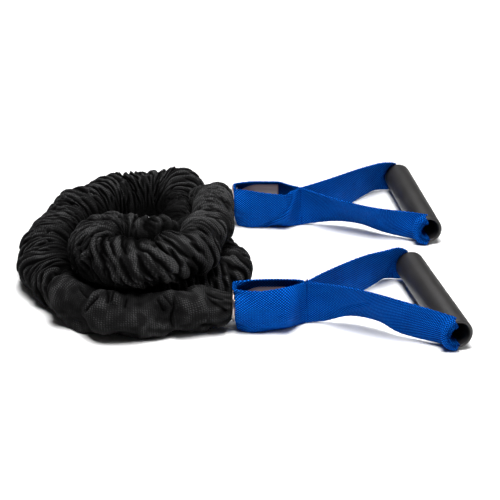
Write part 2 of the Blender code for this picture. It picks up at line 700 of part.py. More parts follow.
def make_end(side, tack, loop, near_ply, far_ply, grip, face_x, axis, finishes, parts, cutters):
    """Everything on one cord end: grommet, looped webbing, tack, handle webbing and grip."""
    webbing, metal, thread, plastic, core, binding = finishes
    make_grommet(side + "_grommet", face_x, axis, metal, parts)
    make_washer(side + "_grommet_washer", face_x, axis, metal, parts)
    make_plug(side + "_end_plug", face_x, axis, core, parts)
    make_tie(side + "_sleeve_tie", face_x, axis, binding, parts)

    looped = band(side + "_loop_webbing", loop_sections(loop, tack, face_x, axis), parts)
    looped.data.materials.append(webbing)
    hole = cylinder(side + "_grommet_hole", TUBE_RADIUS + TURN_GAP + GROMMET_WALL + SEAT_GAP,
                    WEB_THICKNESS + 2 * CUT_PAST, cutters)
    point_along_x(hole, plan(face_x, axis[0], axis[1]))
    cut(looped, hole)
    gap = tack_cutter(side + "_tack_gap", tack, cutters)
    cut(looped, gap)

    strap = band(side + "_handle_webbing", handle_sections(tack, near_ply, far_ply, grip), parts)
    strap.data.materials.append(webbing)
    cut(strap, gap)
    make_tack(side + "_strap_tack", tack, thread, parts)
    make_grip(side + "_grip", grip, plastic, parts)


def build():
    clear_scene()
    parts = new_collection("resistance_bungee_cord")
    cutters = new_collection("cutters")
    cloth = surface("sleeve_cloth", (0.022, 0.022, 0.024), 0.85)
    latex = surface("latex", (0.16, 0.12, 0.11), 0.45)
    webbing = surface("webbing", (0.01, 0.08, 0.42), 0.7)
    metal = surface("grommet_metal", (0.72, 0.62, 0.58), 0.28, 1.0)
    thread = surface("thread", (0.01, 0.06, 0.34), 0.75)
    plastic = surface("grip_plastic", (0.035, 0.033, 0.033), 0.5)
    core = surface("plug_plastic", (0.05, 0.05, 0.05), 0.5)
    binding = surface("tie_nylon", (0.03, 0.03, 0.03), 0.5)
    finishes = (webbing, metal, thread, plastic, core, binding)

    route = cord_route()
    make_sleeve(route, cloth, parts, cutters)
    make_tube(route, latex, parts, cutters)
    make_end("front", FRONT_TACK, FRONT_LOOP, FRONT_NEAR_PLY, FRONT_FAR_PLY, FRONT_GRIP, FRONT_FACE_X,
             FRONT_AXIS, finishes, parts, cutters)
    make_end("rear", REAR_TACK, REAR_LOOP, REAR_NEAR_PLY, REAR_FAR_PLY, REAR_GRIP, REAR_FACE_X,
             REAR_AXIS, finishes, parts, cutters)


build()
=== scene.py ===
"""Looks of a sleeved elastic resistance cord, coiled up, with a webbing handle at each end.

Lengths are in metres, +Z is up and the floor is at zero. Plan places have x to the right and y away from
the viewer; plan() moves them to the frame's own origin. The tables of places are in millimetres.
"""
import math
from types import SimpleNamespace

import bmesh
import bpy
import numpy as np
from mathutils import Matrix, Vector


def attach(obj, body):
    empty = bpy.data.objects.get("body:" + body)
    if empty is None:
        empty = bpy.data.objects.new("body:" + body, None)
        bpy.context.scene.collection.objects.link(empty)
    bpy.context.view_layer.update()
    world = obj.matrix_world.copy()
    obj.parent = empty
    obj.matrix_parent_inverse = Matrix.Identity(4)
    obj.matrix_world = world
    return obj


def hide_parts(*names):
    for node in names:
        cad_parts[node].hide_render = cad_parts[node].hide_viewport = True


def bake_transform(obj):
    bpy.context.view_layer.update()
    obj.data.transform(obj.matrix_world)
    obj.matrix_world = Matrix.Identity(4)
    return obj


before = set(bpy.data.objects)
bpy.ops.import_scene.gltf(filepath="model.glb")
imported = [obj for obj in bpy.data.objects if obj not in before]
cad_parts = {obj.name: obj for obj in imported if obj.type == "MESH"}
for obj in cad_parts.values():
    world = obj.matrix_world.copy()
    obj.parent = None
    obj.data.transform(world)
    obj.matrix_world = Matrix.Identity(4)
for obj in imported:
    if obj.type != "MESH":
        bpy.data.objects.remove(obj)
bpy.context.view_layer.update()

MM = 0.001
UP = (0.0, 0.0, 1.0)
TURN = 2 * math.pi


def metres(rows, factors=MM):
    """Rows of numbers in millimetres as an array in metres; factors may give each column its own."""
    return np.array(rows) * factors


# Camera: a long lens in front of the object, pitched down. Its place is in plan.
CAMERA_PLACE = (0.0, -1.1, 0.5888)
CAMERA_PITCH = math.radians(25)
CAMERA_LENS = 111.5
CAMERA_SENSOR = 36.0
CAMERA_CLIP = 20.0

# Middle of the part in plan, which is the frame's origin
MIDDLE_X = 0.07925
MIDDLE_Y = 0.13705

# Floor's half size, glow of the surround at the horizon and overhead, lights: name, place, aim, size, power
FLOOR_SIZE = 12.0
GLOW_LOW = 0.34
GLOW_HIGH = 0.7
SCENE_MIDDLE = (0.05, 0.12, 0.0)
FAR_FLOOR = (0.0, 1.3, 0.0)
LIGHTS = [("key", (0.02, -0.32, 1.42), SCENE_MIDDLE, 0.7, 30.0),
          ("overhead", (0.05, 0.2, 1.6), SCENE_MIDDLE, 1.0, 13.0),
          ("right", (1.3, -0.2, 1.0), SCENE_MIDDLE, 0.8, 5.0),
          ("far floor", (0.0, 1.3, 1.3), FAR_FLOOR, 1.0, 9.0)]

# Webbing
WEB_WIDTH = 0.038
WEB_THICKNESS = 0.002
WEB_PLY = 0.0017
WEB_ROUND = 0.0009
WEB_ROUND_PLACES = np.sin(np.radians([30, 60, 90]))
WEB_ACROSS = 26
WEB_STEP = 0.0016
WEB_EDGE_INSET = 0.0005
WEAVE_PITCH = 0.0025
WEAVE_ROW = 0.0018
SCALLOP = 0.00026

# Folds pressed into the near plies: places (x, z) in plan, the y between which the ply lies, width and depth.
# Beside each the cloth swells by a share of the depth, at a distance and over a reach given in widths.
STRAP_FOLDS = [
    ([(38.2, 37), (36.7, 28), (33, 20.5), (20, 9), (12, 3)], (190, 219.5), 1.2, 2.1),
    ([(74, 18), (83, 23), (91.5, 29)], (-10, 20.5), 1.6, 0.8),
    ([(5, 37), (1, 30), (-6, 24)], (-10, 15), 1.4, 0.7), ([(2, 10), (10, 6), (16, 2)], (-10, 15), 1.4, 0.6)]
FOLD_SWELL = 0.6
FOLD_SWELL_AT = 2.5
FOLD_SWELL_REACH = 1.5
FOLD_LINE_STEPS = 6

# Grips
GRIP_LENGTH = 0.13
GRIP_RADIUS = 0.0125
GRIP_WALL = 0.0026
GRIP_ROUND = 0.0009
GRIP_AXIS_Z = 0.0148

# Latex tube, its swollen ends and their plugs
TUBE_RADIUS = 0.008
TUBE_BORE = 0.004
TUBE_SIDES = 64
TUBE_EVERY = 6
TUBE_SHARP = 50
TUBE_NUDGE = 1e-9
BULB_RADIUS = 0.0142
BULB_CONE = 0.017
BULB_LENGTH = 0.0195
BULB_EDGE = 0.0012
BULB_STEPS = 16
BULB_POWER = 0.9
BULB_MIDDLES = (0.25, 0.5, 0.75)
POCKET_EDGE = 0.0006
PLUG_RADIUS = 0.0098
PLUG_TIP_RADIUS = 0.0034
PLUG_NOSE = 0.008
PLUG_LENGTH = 0.024
PLUG_EDGE = 0.001
PLUG_EDGE_STEPS = 5
PLUG_SETBACK = 0.0027
SEAT_GAP = 0.0003
TURN_GAP = 0.0004

# Grommets and washers
FLANGE_RADIUS = 0.0142
FLANGE_THICKNESS = 0.0011
FLANGE_DOME = 0.0006
DOME_PLACES = np.linspace(0.1, 0.9, 9)
GROMMET_WALL = 0.0009
GROMMET_LIP = 0.0012
WASHER_RADIUS = 0.012
WASHER_THICKNESS = 0.001
ROUND_STEPS = 96
ARC_STEPS = 6
TURNED_SHARP = 40

# Ties
TIE_WIDTH = 0.004
TIE_SETBACK = 0.003
TIE_THREAD = 0.0005
TIE_ARC = 80

# Stitches of the tacks and their loose thread ends
TACK_HEIGHT = 0.034
TACK_MIDDLE = 0.019
TACK_BEND = 0.007
STITCHES = 19
STITCH_POINTS = 20
STITCH_REACH = 0.0016
STITCH_SLANT = 0.0005
STITCH_SQUARE_X = 0.6
STITCH_SQUARE_Y = 0.45
THREAD_RADIUS = 0.00022
THREAD_SIDES = 8
THREAD_UPRIGHT = (0.05, 0.1, 1.0)
TUFTS = 5
TUFT_POINTS = 8
TUFT_SEED = 27
TUFT_DRIFT = 0.0014
TUFT_FORWARD = 0.0008
TUFT_SPREAD = 0.0006
TUFT_ROOT_SHARE = 0.6

# The two ends: cord axis (y, z), grommet face, tack and grip (x, y, turn) in plan, height of the roots of the
# thread ends, their climb and how much more some climb, then three tables in plan.
# The loop between tack and grommet: x, middle y, half width at mid height, the near ply's half width at its
# bottom and top edge, and the far ply's at both edges.
# The plies between tack and grip: x, y, height of the middle, and the lean of the top towards -Y in degrees.
PLY_UNITS = (MM, MM, MM, 1)
FRONT = SimpleNamespace(
    side="front_", axis=(0.015, 0.0205), face_x=-0.0112, tack=(0.046, 0.0225),
    grip=(0.1634, -0.0262, math.radians(11.6)), tuft=(0.0355, 0.003, 0.0022),
    loop=metres([
        (42.5, 22.2, 4, 2.6, 2.6, 2.6), (39, 20.8, 8.5, 2.6, 2.8, 5), (34.5, 18, 13.8, 2.6, 3, 8),
        (29, 15.5, 16.6, 3, 3.4, 10.8), (20, 15.2, 16.2, 5, 7, 11.4), (10, 15, 16, 8.5, 10, 11.2),
        (1, 15, 15.7, 10, 10, 10)]),
    near_ply=metres([
        (61, 18, 20.8, 10), (79, 11, 25, 26), (100, 1, 25.2, 27), (120, -8.5, 21, 18)], PLY_UNITS),
    far_ply=metres([
        (59, 37, 19.5, 0), (76, 55.5, 19.5, 4), (95, 73.5, 19.4, 8), (110, 86.5, 19.2, 17),
        (121.5, 97.5, 18.2, 23)], PLY_UNITS))
REAR = SimpleNamespace(
    side="rear_", axis=(0.2225, 0.0235), face_x=-0.014, tack=(0.0475, 0.219),
    grip=(0.1609, 0.1732, math.radians(7.5)), tuft=(0.0021, -0.0012, 0.0),
    loop=metres([
        (43.5, 218.8, 4, 2.6, 3, 2.6), (39, 218, 9.2, 3, 7.5, 5.8), (33, 218.4, 15.2, 3.6, 17.5, 9.6),
        (26.5, 221.2, 17.8, 4.5, 19, 11.6), (15, 221.8, 17.2, 7.5, 16.5, 11.6),
        (5, 222.2, 16.3, 10, 13, 11.3), (-2, 222.5, 15.7, 10.2, 10.2, 10.2)]),
    near_ply=metres([
        (64, 211, 20.8, 22), (80, 204.5, 21.2, 34), (99, 196.5, 20.5, 38),
        (120, 186.5, 18.5, 32)], PLY_UNITS),
    far_ply=metres([
        (62, 229.5, 19.5, 0), (79, 243.5, 19.7, 2), (100, 266.5, 19.2, 10), (116.9, 285, 18.6, 19),
        (127, 294, 17.8, 24)], PLY_UNITS))

# Corners of the loops round the grommets
LOOP_CORNER_ROUND = 0.0025
LOOP_CORNER_LEAST = 0.005
LOOP_TOP_LEAN = 40.0
LOOP_FOOT_LEAN = 16.0
LOOP_FACE_FLAT = 0.009
LOOP_CORNERS = ((-1, 90), (-1, 45), (-1, 0), (1, 0), (1, 45), (1, 90))

# Webbing where it curls round a grip and over its rim into the bore, where it is drawn into pleats
WRAP_TILT_NEAR = math.radians(-3)
WRAP_TILT_FAR = math.radians(2)
WRAP_UNDER = math.radians(7)
WRAP_RUN = 0.007
WRAP_GAP = 0.0003
RIM_BACK = 0.0016
RIM_SWELL = 0.7
RIM_EASE = 0.0005
PLEATS = 3.5
PLEAT_START = 0.8
PLEAT_DEPTH = 0.0011
PLEAT_SPREAD = 0.08
PLEAT_SHARES = (0.0, 0.0, 0.0, 0.3, 0.7, 1.0, 1.0)

# Route of the cord in plan: x, y, height of its middle, full radius of the sleeve. It runs round the outer
# loop and under the inner one, turns back and up, and then lies on top.
OUTER_RADIUS = 0.0195
INNER_RADIUS = 0.0183
REAR_END_RADIUS = 0.0122
END_STRAIGHT_FRONT = 0.024
END_STRAIGHT_REAR = 0.01
ROUTE_LOWER = metres([
    (-52, 8.5, 18.3, 19.5), (-77, 1, 17, 19.5), (-104, -1, 17, 19.5), (-127, 6.5, 17, 19.5),
    (-149, 25, 17, 19.5), (-167, 56, 17, 19.5), (-178, 91, 17, 19.5), (-181, 127, 17, 19.5),
    (-176, 165, 17, 19.5), (-163, 201, 17, 19.5), (-142, 232, 17, 19.5), (-117, 253, 17, 19.5),
    (-92, 260.5, 17, 18), (-72.5, 253, 17, 18), (-65.5, 236, 17, 16.2), (-67.8, 215, 17, 16.2),
    (-69, 197, 17, 16.2), (-69, 179, 17, 18), (-63, 160.5, 17, 18), (-52.5, 143.5, 17, 18),
    (-37, 124, 17, 18), (-24, 104, 17, 18.3), (-18, 85, 17, 18.3), (-25, 66, 17, 18.3), (-42, 55.5, 17, 18.3),
    (-64, 46.5, 17, 18.3), (-88, 42, 17, 18.3), (-111, 47, 17, 18.3), (-126, 62, 17, 18.3),
    (-130, 82, 17, 18.3), (-121, 100, 17, 18.3)])
TURN_START = (-0.102, 0.108, 0.017)
TURN_END = (-0.102, 0.08, 0.053)
TURN_ANGLES = np.radians(range(0, 181, 30))
ROUTE_UPPER = metres([
    (-118, 74, 54.5, 18.3), (-128, 59, 54.5, 18.3), (-127, 40, 54.5, 18.3), (-114, 24, 54.5, 18.3),
    (-93, 17, 54.5, 18.3), (-72, 20, 54.5, 18.3), (-53, 35, 54.5, 18.3), (-40, 64, 54.5, 18.3),
    (-33, 96, 54.5, 18.3), (-30, 127, 54, 18.3), (-30, 150, 48.5, 18), (-33, 172, 41.2, 17),
    (-39, 190, 34.8, 15.2), (-41.2, 205, 29.5, 13.4), (-37.4, 217.2, 25.7, 12.4)])
CURVE_FINE = 60

# Sleeve
SLEEVE_STEP = 0.00058
SLEEVE_SIDES = 120
GIRTH_RADIUS = 0.0185
CONTACT_STEP = 9
CONTACT_GAP = 0.0002
CONTACT_REACH = 0.075
CONTACT_BLEND = 0.0015
CONTACT_LEAST = 1e-5
NEIGHBOUR_REACH = 0.07
REACH_MOST = 0.0285
FAR_OFF = 1.0
LINING_RADIUS = 0.0088
LINING_STEP = 12
LINING_COVER = 0.0006
NECK_RADIUS = 0.0098
NECK_LENGTHS = (0.03, 0.012)
NECK_POWER = 0.9
FLOOR_CLEAR = 0.0003
FLOOR_ROUND = 0.0012
SEED = 7

# Folds along the sleeve, at plan places (x, y, z) on its centre line: pitch, depth, slant, height of billows
FOLD_STYLE = metres([
    (-20, 15, 20.5, 10, 0.3, 0, 1.4), (-77, 1, 17, 11, 0.4, 0, 1.5), (-127, 6.5, 17, 10, 0.5, 0.1, 1.7),
    (-149, 25, 17, 9, 0.7, 0.2, 1.6), (-160, 43, 17, 6.8, 3.4, 0.2, 1), (-167, 56, 17, 6.2, 4.2, 0.1, 0.8),
    (-181, 127, 17, 5.8, 4, 0, 0.8), (-142, 232, 17, 5.6, 4.2, 0, 0.8), (-92, 260.5, 17, 5.8, 4.2, 0, 0.9),
    (-69, 179, 17, 6, 3.6, 0, 0.8), (-24, 104, 17, 6.2, 4, 0, 0.7), (-88, 42, 17, 6.2, 3.6, 0, 0.8),
    (-102, 108, 17, 5.6, 3.8, 0, 0.8), (-118, 74, 54.5, 6, 4, 0.2, 0.8), (-127, 40, 54.5, 6.8, 4.2, 0.3, 0.8),
    (-93, 17, 54.5, 8.2, 4.2, 0.5, 0.9), (-53, 35, 54.5, 11, 3.6, 0.3, 1.1),
    (-33, 96, 54.5, 7.4, 3.3, 0, 0.9), (-30, 150, 48.5, 6.4, 3.1, 0, 0.7),
    (-39, 190, 34.8, 5.4, 2.6, 0, 0.5)], (MM, MM, MM, MM, MM, 1, MM))
STYLE_SOFT = 0.012

# Fields of folds: their pitch by the style's, its spread, the slant's wander, length and width of a packet
FIELDS = [(1.12, 0.34, 0.24, 0.0075, 0.02),
          (2.3, 0.22, 0.2, 0.014, 0.02),
          (0.5, 0.22, 0.4, 0.005, 0.008)]
BUNDLE_SHARE = 0.45
CRIMP_SHARE = 0.05
PACKET_CROWD = 2.25
PACKET_REACH = 2.6
PITCH_LEAST = 0.45
FULL_STRENGTH = 35
CREST_POWER = 0.6
CREST_MEAN = 0.62

# Smooth noise: least wave length, most lobes, waves and seed
NOISE_SPREAD = 2.5
AMOUNT_NOISE = (0.026, 3, 16, SEED + 3)
BILLOW_NOISE = (0.032, 3, 18, SEED + 4)
LEAN_NOISE = (0.04, 2, 12, SEED + 6)
CRUMPLE_NOISE = (0.01, 9, 60, SEED + 7)
AMOUNT_MEAN = 0.95
AMOUNT_SWING = 0.35
AMOUNT_LEAST = 0.3
AMOUNT_MOST = 1.5
BILLOW_GAIN = 1.5
LEAN_GAIN = 1.6
LEAN_SHARE = 0.5
CRUMPLE_HEIGHT = 0.00055

# Painted light and shade on the cloth: full on crests, painted shade in folds by a share between two values
DEEP_FOLD = 0.0035
SMOOTH_PAINTED_LIGHT = 0.94
CRUMPLE_SHADE = (0.38, -0.3, 1.3)
BILLOW_SHADE = (0.35, -0.6, 1.2)
BUNDLE_SHADE = (0.6, 0.55, 0.95)
GROOVE_SHADE = 0.98
GROOVE_FROM = 0.25
GROOVE_SOFT = 0.45
GROOVE_STEPS = [(0.1, 0.33, 0.43), (0.04, 0.9, 0.96), (0.13, 1.04, 1.1)]
CREASE_SHADE = 0.95
PAINTED_LIGHT_MOST = 1.2

# Pleats that draw the sleeve in at its necks, their painted light and shade, and how far they reach at front
# and rear
NECK_PLEATS = 11
NECK_PLEAT_HEIGHT = 0.001
NECK_PLEAT_WAVE = 1.2
NECK_PLEAT_TWIST = 25
NECK_PLEAT_START = 0.004
NECK_PLEAT_LEAST = 0.15
NECK_CALM = 0.8
NECK_PAINTED_LIGHT = 0.6
NECK_PAINTED_LIGHT_SWING = 0.25
NECK_REACHES = (0.016, 0.017)

# Single creases, each a line of places along and round the sleeve (in degrees), its depth and width, and how
# far the cloth swells beside it: on the left of the line where positive, else on the right
CREASES = [
    ([(48.5, 96), (51.5, 135), (53.6, 165), (54, 190), (53, 222)], 4.2, 1.2, 3),
    ([(63, 98), (60.3, 120), (57.5, 140)], 3.2, 1.2, 1.2), ([(58, 95), (53.9, 117), (51.8, 132)], 3, 1.1, -1),
    ([(22, 118), (14.5, 150), (8, 165), (3.5, 189)], 3, 1.6, -1.8),
    ([(23, 112), (12.2, 130), (5.8, 138)], 2, 1.2, 1.4), ([(10, 226), (20, 214), (38.3, 208)], 2.2, 3, 1),
    ([(95.7, 80), (96.5, 124)], 1.6, 1.2, 1), ([(86.4, 82), (87.6, 132)], 1.2, 1.2, 0.8),
    ([(134, 78), (122.4, 93), (111.4, 114)], 3, 1.2, -2),
    ([(115, 156), (111.4, 134), (107.9, 123), (104.5, 108)], 4.2, 1.3, 2.6),
    ([(105.6, 72), (99.8, 105), (99, 128)], 3.4, 1.3, 2.2),
    ([(165.5, 140), (164, 120), (162.4, 96), (169.4, 72), (178.1, 50)], 5.8, 1.8, 1.5),
    ([(159, 178), (156, 150), (154.3, 130), (156.5, 108)], 4.8, 1.4, -1.4)]
CREASE_REACH = 0.015
CREASE_STEPS = 10
CREASE_TAPER = 0.2
CREASE_NARROW = 0.6
CREASE_WIDE = 0.4
CREASE_WIDE_AT = 3.0
CREASE_INSIDE = 0.75
LIP_AT = 3.2
LIP_REACH = 2.6
LIP_START = 1.5

# Wide swells and hollows: place along and round the sleeve (in degrees), spread along and round, height
SWELLS = metres([
    (168, 210, 20, 16, -8.5), (280, 175, 30, 18, -3.2), (142, 185, 20, 16, -5), (126, 208, 16, 14, -3.5),
    (64, 212, 14, 13, -6.6), (86, 214, 9, 12, 4), (111, 213, 10, 12, -3.6), (50, 218, 10, 12, -1),
    (6, 215, 7, 13, 5), (21, 66, 12, 12, -3), (28, 150, 12, 16, 2), (100, 150, 16, 16, 1.6),
    (881, 118, 8.5, 12, 6), (903, 104, 11, 12, -4.8), (1130, 28, 18, 14, -3), (462, 135, 14, 14, 4.5),
    (1150, 84, 12, 10, 3), (1172, 12, 24, 13, -4.2), (648, 160, 7, 6.5, 3.4), (123, 92, 7, 6, 3),
    (107.5, 116, 4, 5, 2.6), (118, 122, 5, 6, -2.2), (96, 96, 6, 6, 1.6), (45, 140, 5, 14, 2.2),
    (68, 150, 8, 10, -1.4)], (MM, 1, MM, MM, MM))

# Painted shade on cloth in the coil's hollow and in dark gaps between its turns, and painted light where the
# share is less than none: place along and round the sleeve (in degrees), spread along and round, how dark
PAINTED_SHADES = metres([
    (418, 318, 50, 12.5, 0.97), (340, 318, 50, 11, 0.9), (500, 350, 22, 20, 0.95), (535, 60, 18, 18, 0.9),
    (892, 166, 12, 5, 0.95), (922, 168, 18, 5, 0.95), (950, 160, 12, 5, 0.95), (881, 144, 6, 4.5, 0.9),
    (1002, 124, 20, 3.6, 0.92), (966, 338, 12, 7.5, 0.8), (190, 40, 14, 6, 0.92), (225, 25, 20, 6.8, 0.92),
    (270, 14, 24, 6, 0.86), (325, 2, 26, 6.2, 0.82), (956, 352, 8, 5.5, 0.6), (173, 42, 8, 6.5, 0.85),
    (145, 50, 12, 5, 0.5), (1110, 80, 60, 30, -0.1), (430, 90, 50, 13, -0.12)], (MM, 1, MM, MM, 1))

# Sideways spread of the cloth at plan places on the centre line: positive to the right of the heading
WIDENING = metres([
    (-52, 8.5, 18.3, 0), (-104, -1, 17, 1.5), (-149, 25, 17, 4), (-167, 56, 17, 7.5), (-181, 127, 17, 8),
    (-163, 201, 17, 6), (-117, 253, 17, 9.5), (-92, 260.5, 17, 9.5), (-65.5, 236, 17, 0), (-18, 85, 17, -1),
    (-88, 42, 17, -1.5), (-126, 62, 17, -4.5), (-121, 100, 17, -3), (-102, 108, 17, 0), (-118, 74, 54.5, -5),
    (-127, 40, 54.5, -6), (-93, 17, 54.5, -6), (-53, 35, 54.5, -4), (-33, 96, 54.5, 0), (-39, 190, 34.8, 0)])
WIDENING_POWER = 1.3

# Places where the cloth stands proud: plan place, spread, height
BULGES = metres([
    (-60, 256, 20, 14, 6.2), (-105, 62, 48, 14, 7), (-85, 208, 22, 20, -7.5), (-93, 243, 2, 11, 12.5),
    (-35, 13, 42, 16, -4.8), (-85, -17, 4, 26, -2.2)])

# Materials: tones at places of a shade from 0 to 1, and shares of the patterns that make up the shade.
# Noises have scale, detail and roughness, bumps have distance and strength.
CLOTH_TONES = [(0.06, (0.0006, 0.0006, 0.0006)), (0.44, (0.01, 0.01, 0.0102)), (0.82, (0.056, 0.056, 0.057))]
CLOTH_THREADS = (0.00165, 0.00145)
CLOTH_TWILL = 0.0023
TWILL_SHARE = 0.35
CLOTH_SHARES = (0.29, 0.5, 0.25)
PATCHY_GAIN = (1.5, 0.2)
# How strongly the sleeve's painted light and shade scales the cloth's tone
PAINTED_LIGHT_GAIN = (1.05, 0.05)
CLOTH_NOISES = [(150.0, 2.0), (34.0, 4.0), (900.0, 2.0, 0.7)]
CLOTH_BUMPS = [(0.0003, 0.8), (0.0002, 0.35)]
CLOTH_ROUGH = (0.74, 0.92)
WEB_TONES = [(0.22, (0.0001, 0.0052, 0.05)), (0.52, (0.0002, 0.04, 0.26)), (0.88, (0.003, 0.165, 0.76))]
WEB_SHARES = (0.8, 0.26, 0.22)
WEB_NOISES = [(60.0, 3.0), (1300.0, 2.0, 0.6)]
WEB_BUMPS = [(0.00065, 1.0), (0.00015, 0.3)]
WEB_ROUGH = (0.62, 0.44)
CROSSING_POWER = 1.4
RIDGE_SHARE = 0.15
FLOOR_TONES = [(0.3, (0.88, 0.88, 0.88)), (0.7, (0.9, 0.9, 0.9))]
FLOOR_NOISE = (18.0, 2.0)
FLOOR_ROUGH = 0.85
FLOOR_SPECULAR = 0.1
CLOTH_SPECULAR = 0.02
WEB_SPECULAR = 0.01
SKINS = {
    "thread": dict(name="thread_blue", tones=[(0.3, (0.0002, 0.01, 0.085)), (0.75, (0.0004, 0.036, 0.22))],
                   rough=(0.62, 0.78), specular=0.02, cloud=40.0, grain=2500.0),
    "grip": dict(name="grip_foam", tones=[(0.3, (0.0085, 0.008, 0.008)), (0.75, (0.025, 0.0235, 0.0235))],
                 rough=(0.42, 0.58), specular=0.4, cloud=40.0, grain=1600.0),
    "metal": dict(name="grommet_metal", tones=[(0.3, (0.36, 0.28, 0.26)), (0.75, (0.62, 0.54, 0.51))],
                  rough=(0.22, 0.4), specular=0.5, cloud=120.0, grain=420.0, share=0.0, bump=(0.00005, 0.4),
                  stretch=(1, 9, 9), metallic=1.0, detail=4.0, worn_by_grain=True),
    "plug": dict(name="plug_plastic", tones=[(0.3, (0.02, 0.02, 0.02)), (0.75, (0.045, 0.045, 0.045))],
                 rough=(0.42, 0.58), specular=0.5, cloud=40.0, grain=900.0),
    "tie": dict(name="tie_nylon", tones=[(0.3, (0.012, 0.012, 0.012)), (0.75, (0.035, 0.035, 0.035))],
                rough=(0.42, 0.58), specular=0.5, cloud=40.0, grain=1500.0),
    "latex": dict(name="latex", tones=[(0.3, (0.023, 0.0155, 0.0205)), (0.72, (0.04, 0.0285, 0.036))],
                  rough=(0.34, 0.52), specular=0.15, cloud=70.0, grain=1500.0, share=0.25,
                  bump=(0.00006, 0.4), worn_by_grain=True)}
GRAIN_DETAIL = 2.0


def plan(x, y, z):
    """A plan place, or arrays of them, in the frame's own coordinates."""
    return np.stack(np.broadcast_arrays(x - MIDDLE_X, y - MIDDLE_Y, z), axis=-1)


# Curves and meshes

def cubic(before, here, there, after, t):
    """The smooth curve from here to there as t runs from 0 to 1."""
    return 0.5 * (2 * here + (there - before) * t
                  + (2 * before - 5 * here + 4 * there - after) * t ** 2
                  + (3 * here - before - 3 * there + after) * t ** 3)


def smooth_curve(rows, t):
    """Smooth curve through rows of numbers, at places t in units of the rows."""
    rows = np.asarray(rows, float)
    i = np.clip(t.astype(int), 0, len(rows) - 2)
    padded = np.vstack([2 * rows[0] - rows[1], rows, 2 * rows[-1] - rows[-2]])
    return cubic(padded[i], padded[i + 1], padded[i + 2], padded[i + 3], (t - i)[:, None])


def even_curve(rows, step):
    """The smooth curve through rows of x, y, z and more, at equal steps, and its length."""
    fine = smooth_curve(rows, np.linspace(0, len(rows) - 1, CURVE_FINE * (len(rows) - 1) + 1))
    along = np.append(0, np.cumsum(np.linalg.norm(np.diff(fine[:, :3], axis=0), axis=1)))
    places = np.linspace(0, along[-1], round(along[-1] / step) + 1)
    return np.column_stack([np.interp(places, along, column) for column in fine.T]), along[-1]


def smooth_surface(rows, step):
    """Smooth closed surface through rows of points, with stations about a step apart."""
    rows = np.array(rows)
    middle = rows.shape[1] // 2
    found = []
    for i in range(len(rows)):
        before, here, there, after = (rows[(i + k) % len(rows)] for k in (-1, 0, 1, 2))
        steps = max(1, round(float(np.linalg.norm(there[middle] - here[middle])) / step))
        found += [cubic(before, here, there, after, k / steps) for k in range(steps)]
    return np.array(found)


def unit(vectors):
    return vectors / np.linalg.norm(vectors, axis=-1)[..., None]


def frames(heading, upright=UP):
    """Unit heading, side (to its right) and up at each point of a path."""
    heading = unit(heading)
    side = unit(np.cross(heading, upright))
    return heading, side, np.cross(side, heading)


def spokes(side, up, angle):
    """Directions round each point of a path, at angles from its side towards its up."""
    angle = angle[:, None]
    return side[:, None, :] * np.cos(angle) + up[:, None, :] * np.sin(angle)


def rings_round(places, heading, radii, sides, upright=UP):
    """Rings of vertices round the points of a path."""
    _, side, up = frames(heading, upright)
    angle = np.linspace(0, TURN, sides, endpoint=False)
    return places[:, None, :] + spokes(side, up, angle) * np.reshape(radii, (-1, 1, 1))


def grid_faces(rows, sides, first=0, close_rows=False):
    """Quads between rings of vertices; ring i has its sides at first + i * sides."""
    i, j = np.indices((rows if close_rows else rows - 1, sides))
    here = first + i * sides
    there = first + (i + 1) % rows * sides
    k = (j + 1) % sides
    return np.stack([here + j, there + j, there + k, here + k], axis=-1).reshape(-1, 4).tolist()


def grid_uv(u, v):
    """Corner coordinates for closed grid_faces: u by ring and v by side, each with its closing value."""
    u = np.stack([u[:-1], u[1:], u[1:], u[:-1]], axis=-1)
    v = np.stack([v[:-1], v[:-1], v[1:], v[1:]], axis=-1)
    return np.stack(np.broadcast_arrays(u[:, None], v[None]), axis=-1)


def add_object(name, data):
    made = bpy.data.objects.new(name, data)
    bpy.context.scene.collection.objects.link(made)
    return made


def add_mesh(name, verts, faces, material, uv=None):
    """A smooth mesh; uv has one pair for each corner of each face, in metres."""
    mesh = bpy.data.meshes.new(name)
    mesh.from_pydata(np.asarray(verts).reshape(-1, 3).tolist(), [], faces)
    if uv is not None:
        mesh.uv_layers.new(name="UVMap").data.foreach_set("uv", uv.astype(np.float32).ravel())
    mesh.update()
    mesh.shade_smooth()
    mesh.materials.append(material)
    return add_object(name, mesh)


def add_closed(name, verts, faces, material, uv=None, sharp=None):
    """A closed mesh with its faces outwards; edges of more than sharp degrees stay crisp."""
    made = add_mesh(name, verts, faces, material, uv)
    if sharp is not None:
        made.data.set_sharp_from_angle(angle=math.radians(sharp))
    cage = bmesh.new()
    cage.from_mesh(made.data)
    bmesh.ops.recalc_face_normals(cage, faces=cage.faces)
    cage.to_mesh(made.data)
    cage.free()
    return made


def turned(name, profile, place, direction, material, closed=True):
    """A turned piece: profile is radius and distance along direction from place.

    A closed profile makes a ring; an open one starts and ends on the axis.
    """
    rows = np.array(profile if closed else profile[1:-1])
    heading = np.tile(direction, (len(rows), 1))
    verts = rings_round(place + heading * rows[:, 1:], heading, rows[:, 0], ROUND_STEPS).reshape(-1, 3)
    faces = grid_faces(len(rows), ROUND_STEPS, close_rows=closed)
    if not closed:
        for tip, ring in ((profile[0], 0), (profile[-1], (len(rows) - 1) * ROUND_STEPS)):
            faces += [(len(verts), ring + k, ring + (k + 1) % ROUND_STEPS) for k in range(ROUND_STEPS)]
            verts = np.vstack([verts, place + heading[0] * tip[1]])
    return add_closed(name, verts, faces, material, sharp=TURNED_SHARP)


def arc(centre, radius, start, end, count=ARC_STEPS):
    """Points of a profile along an arc, its angles in degrees."""
    angle = np.radians(np.linspace(start, end, count + 1))
    return list(zip(centre[0] + radius * np.cos(angle), centre[1] + radius * np.sin(angle)))


def smooth_step(value, low, high):
    t = np.clip((value - low) / (high - low), 0, 1)
    return t * t * (3 - 2 * t)


# Materials

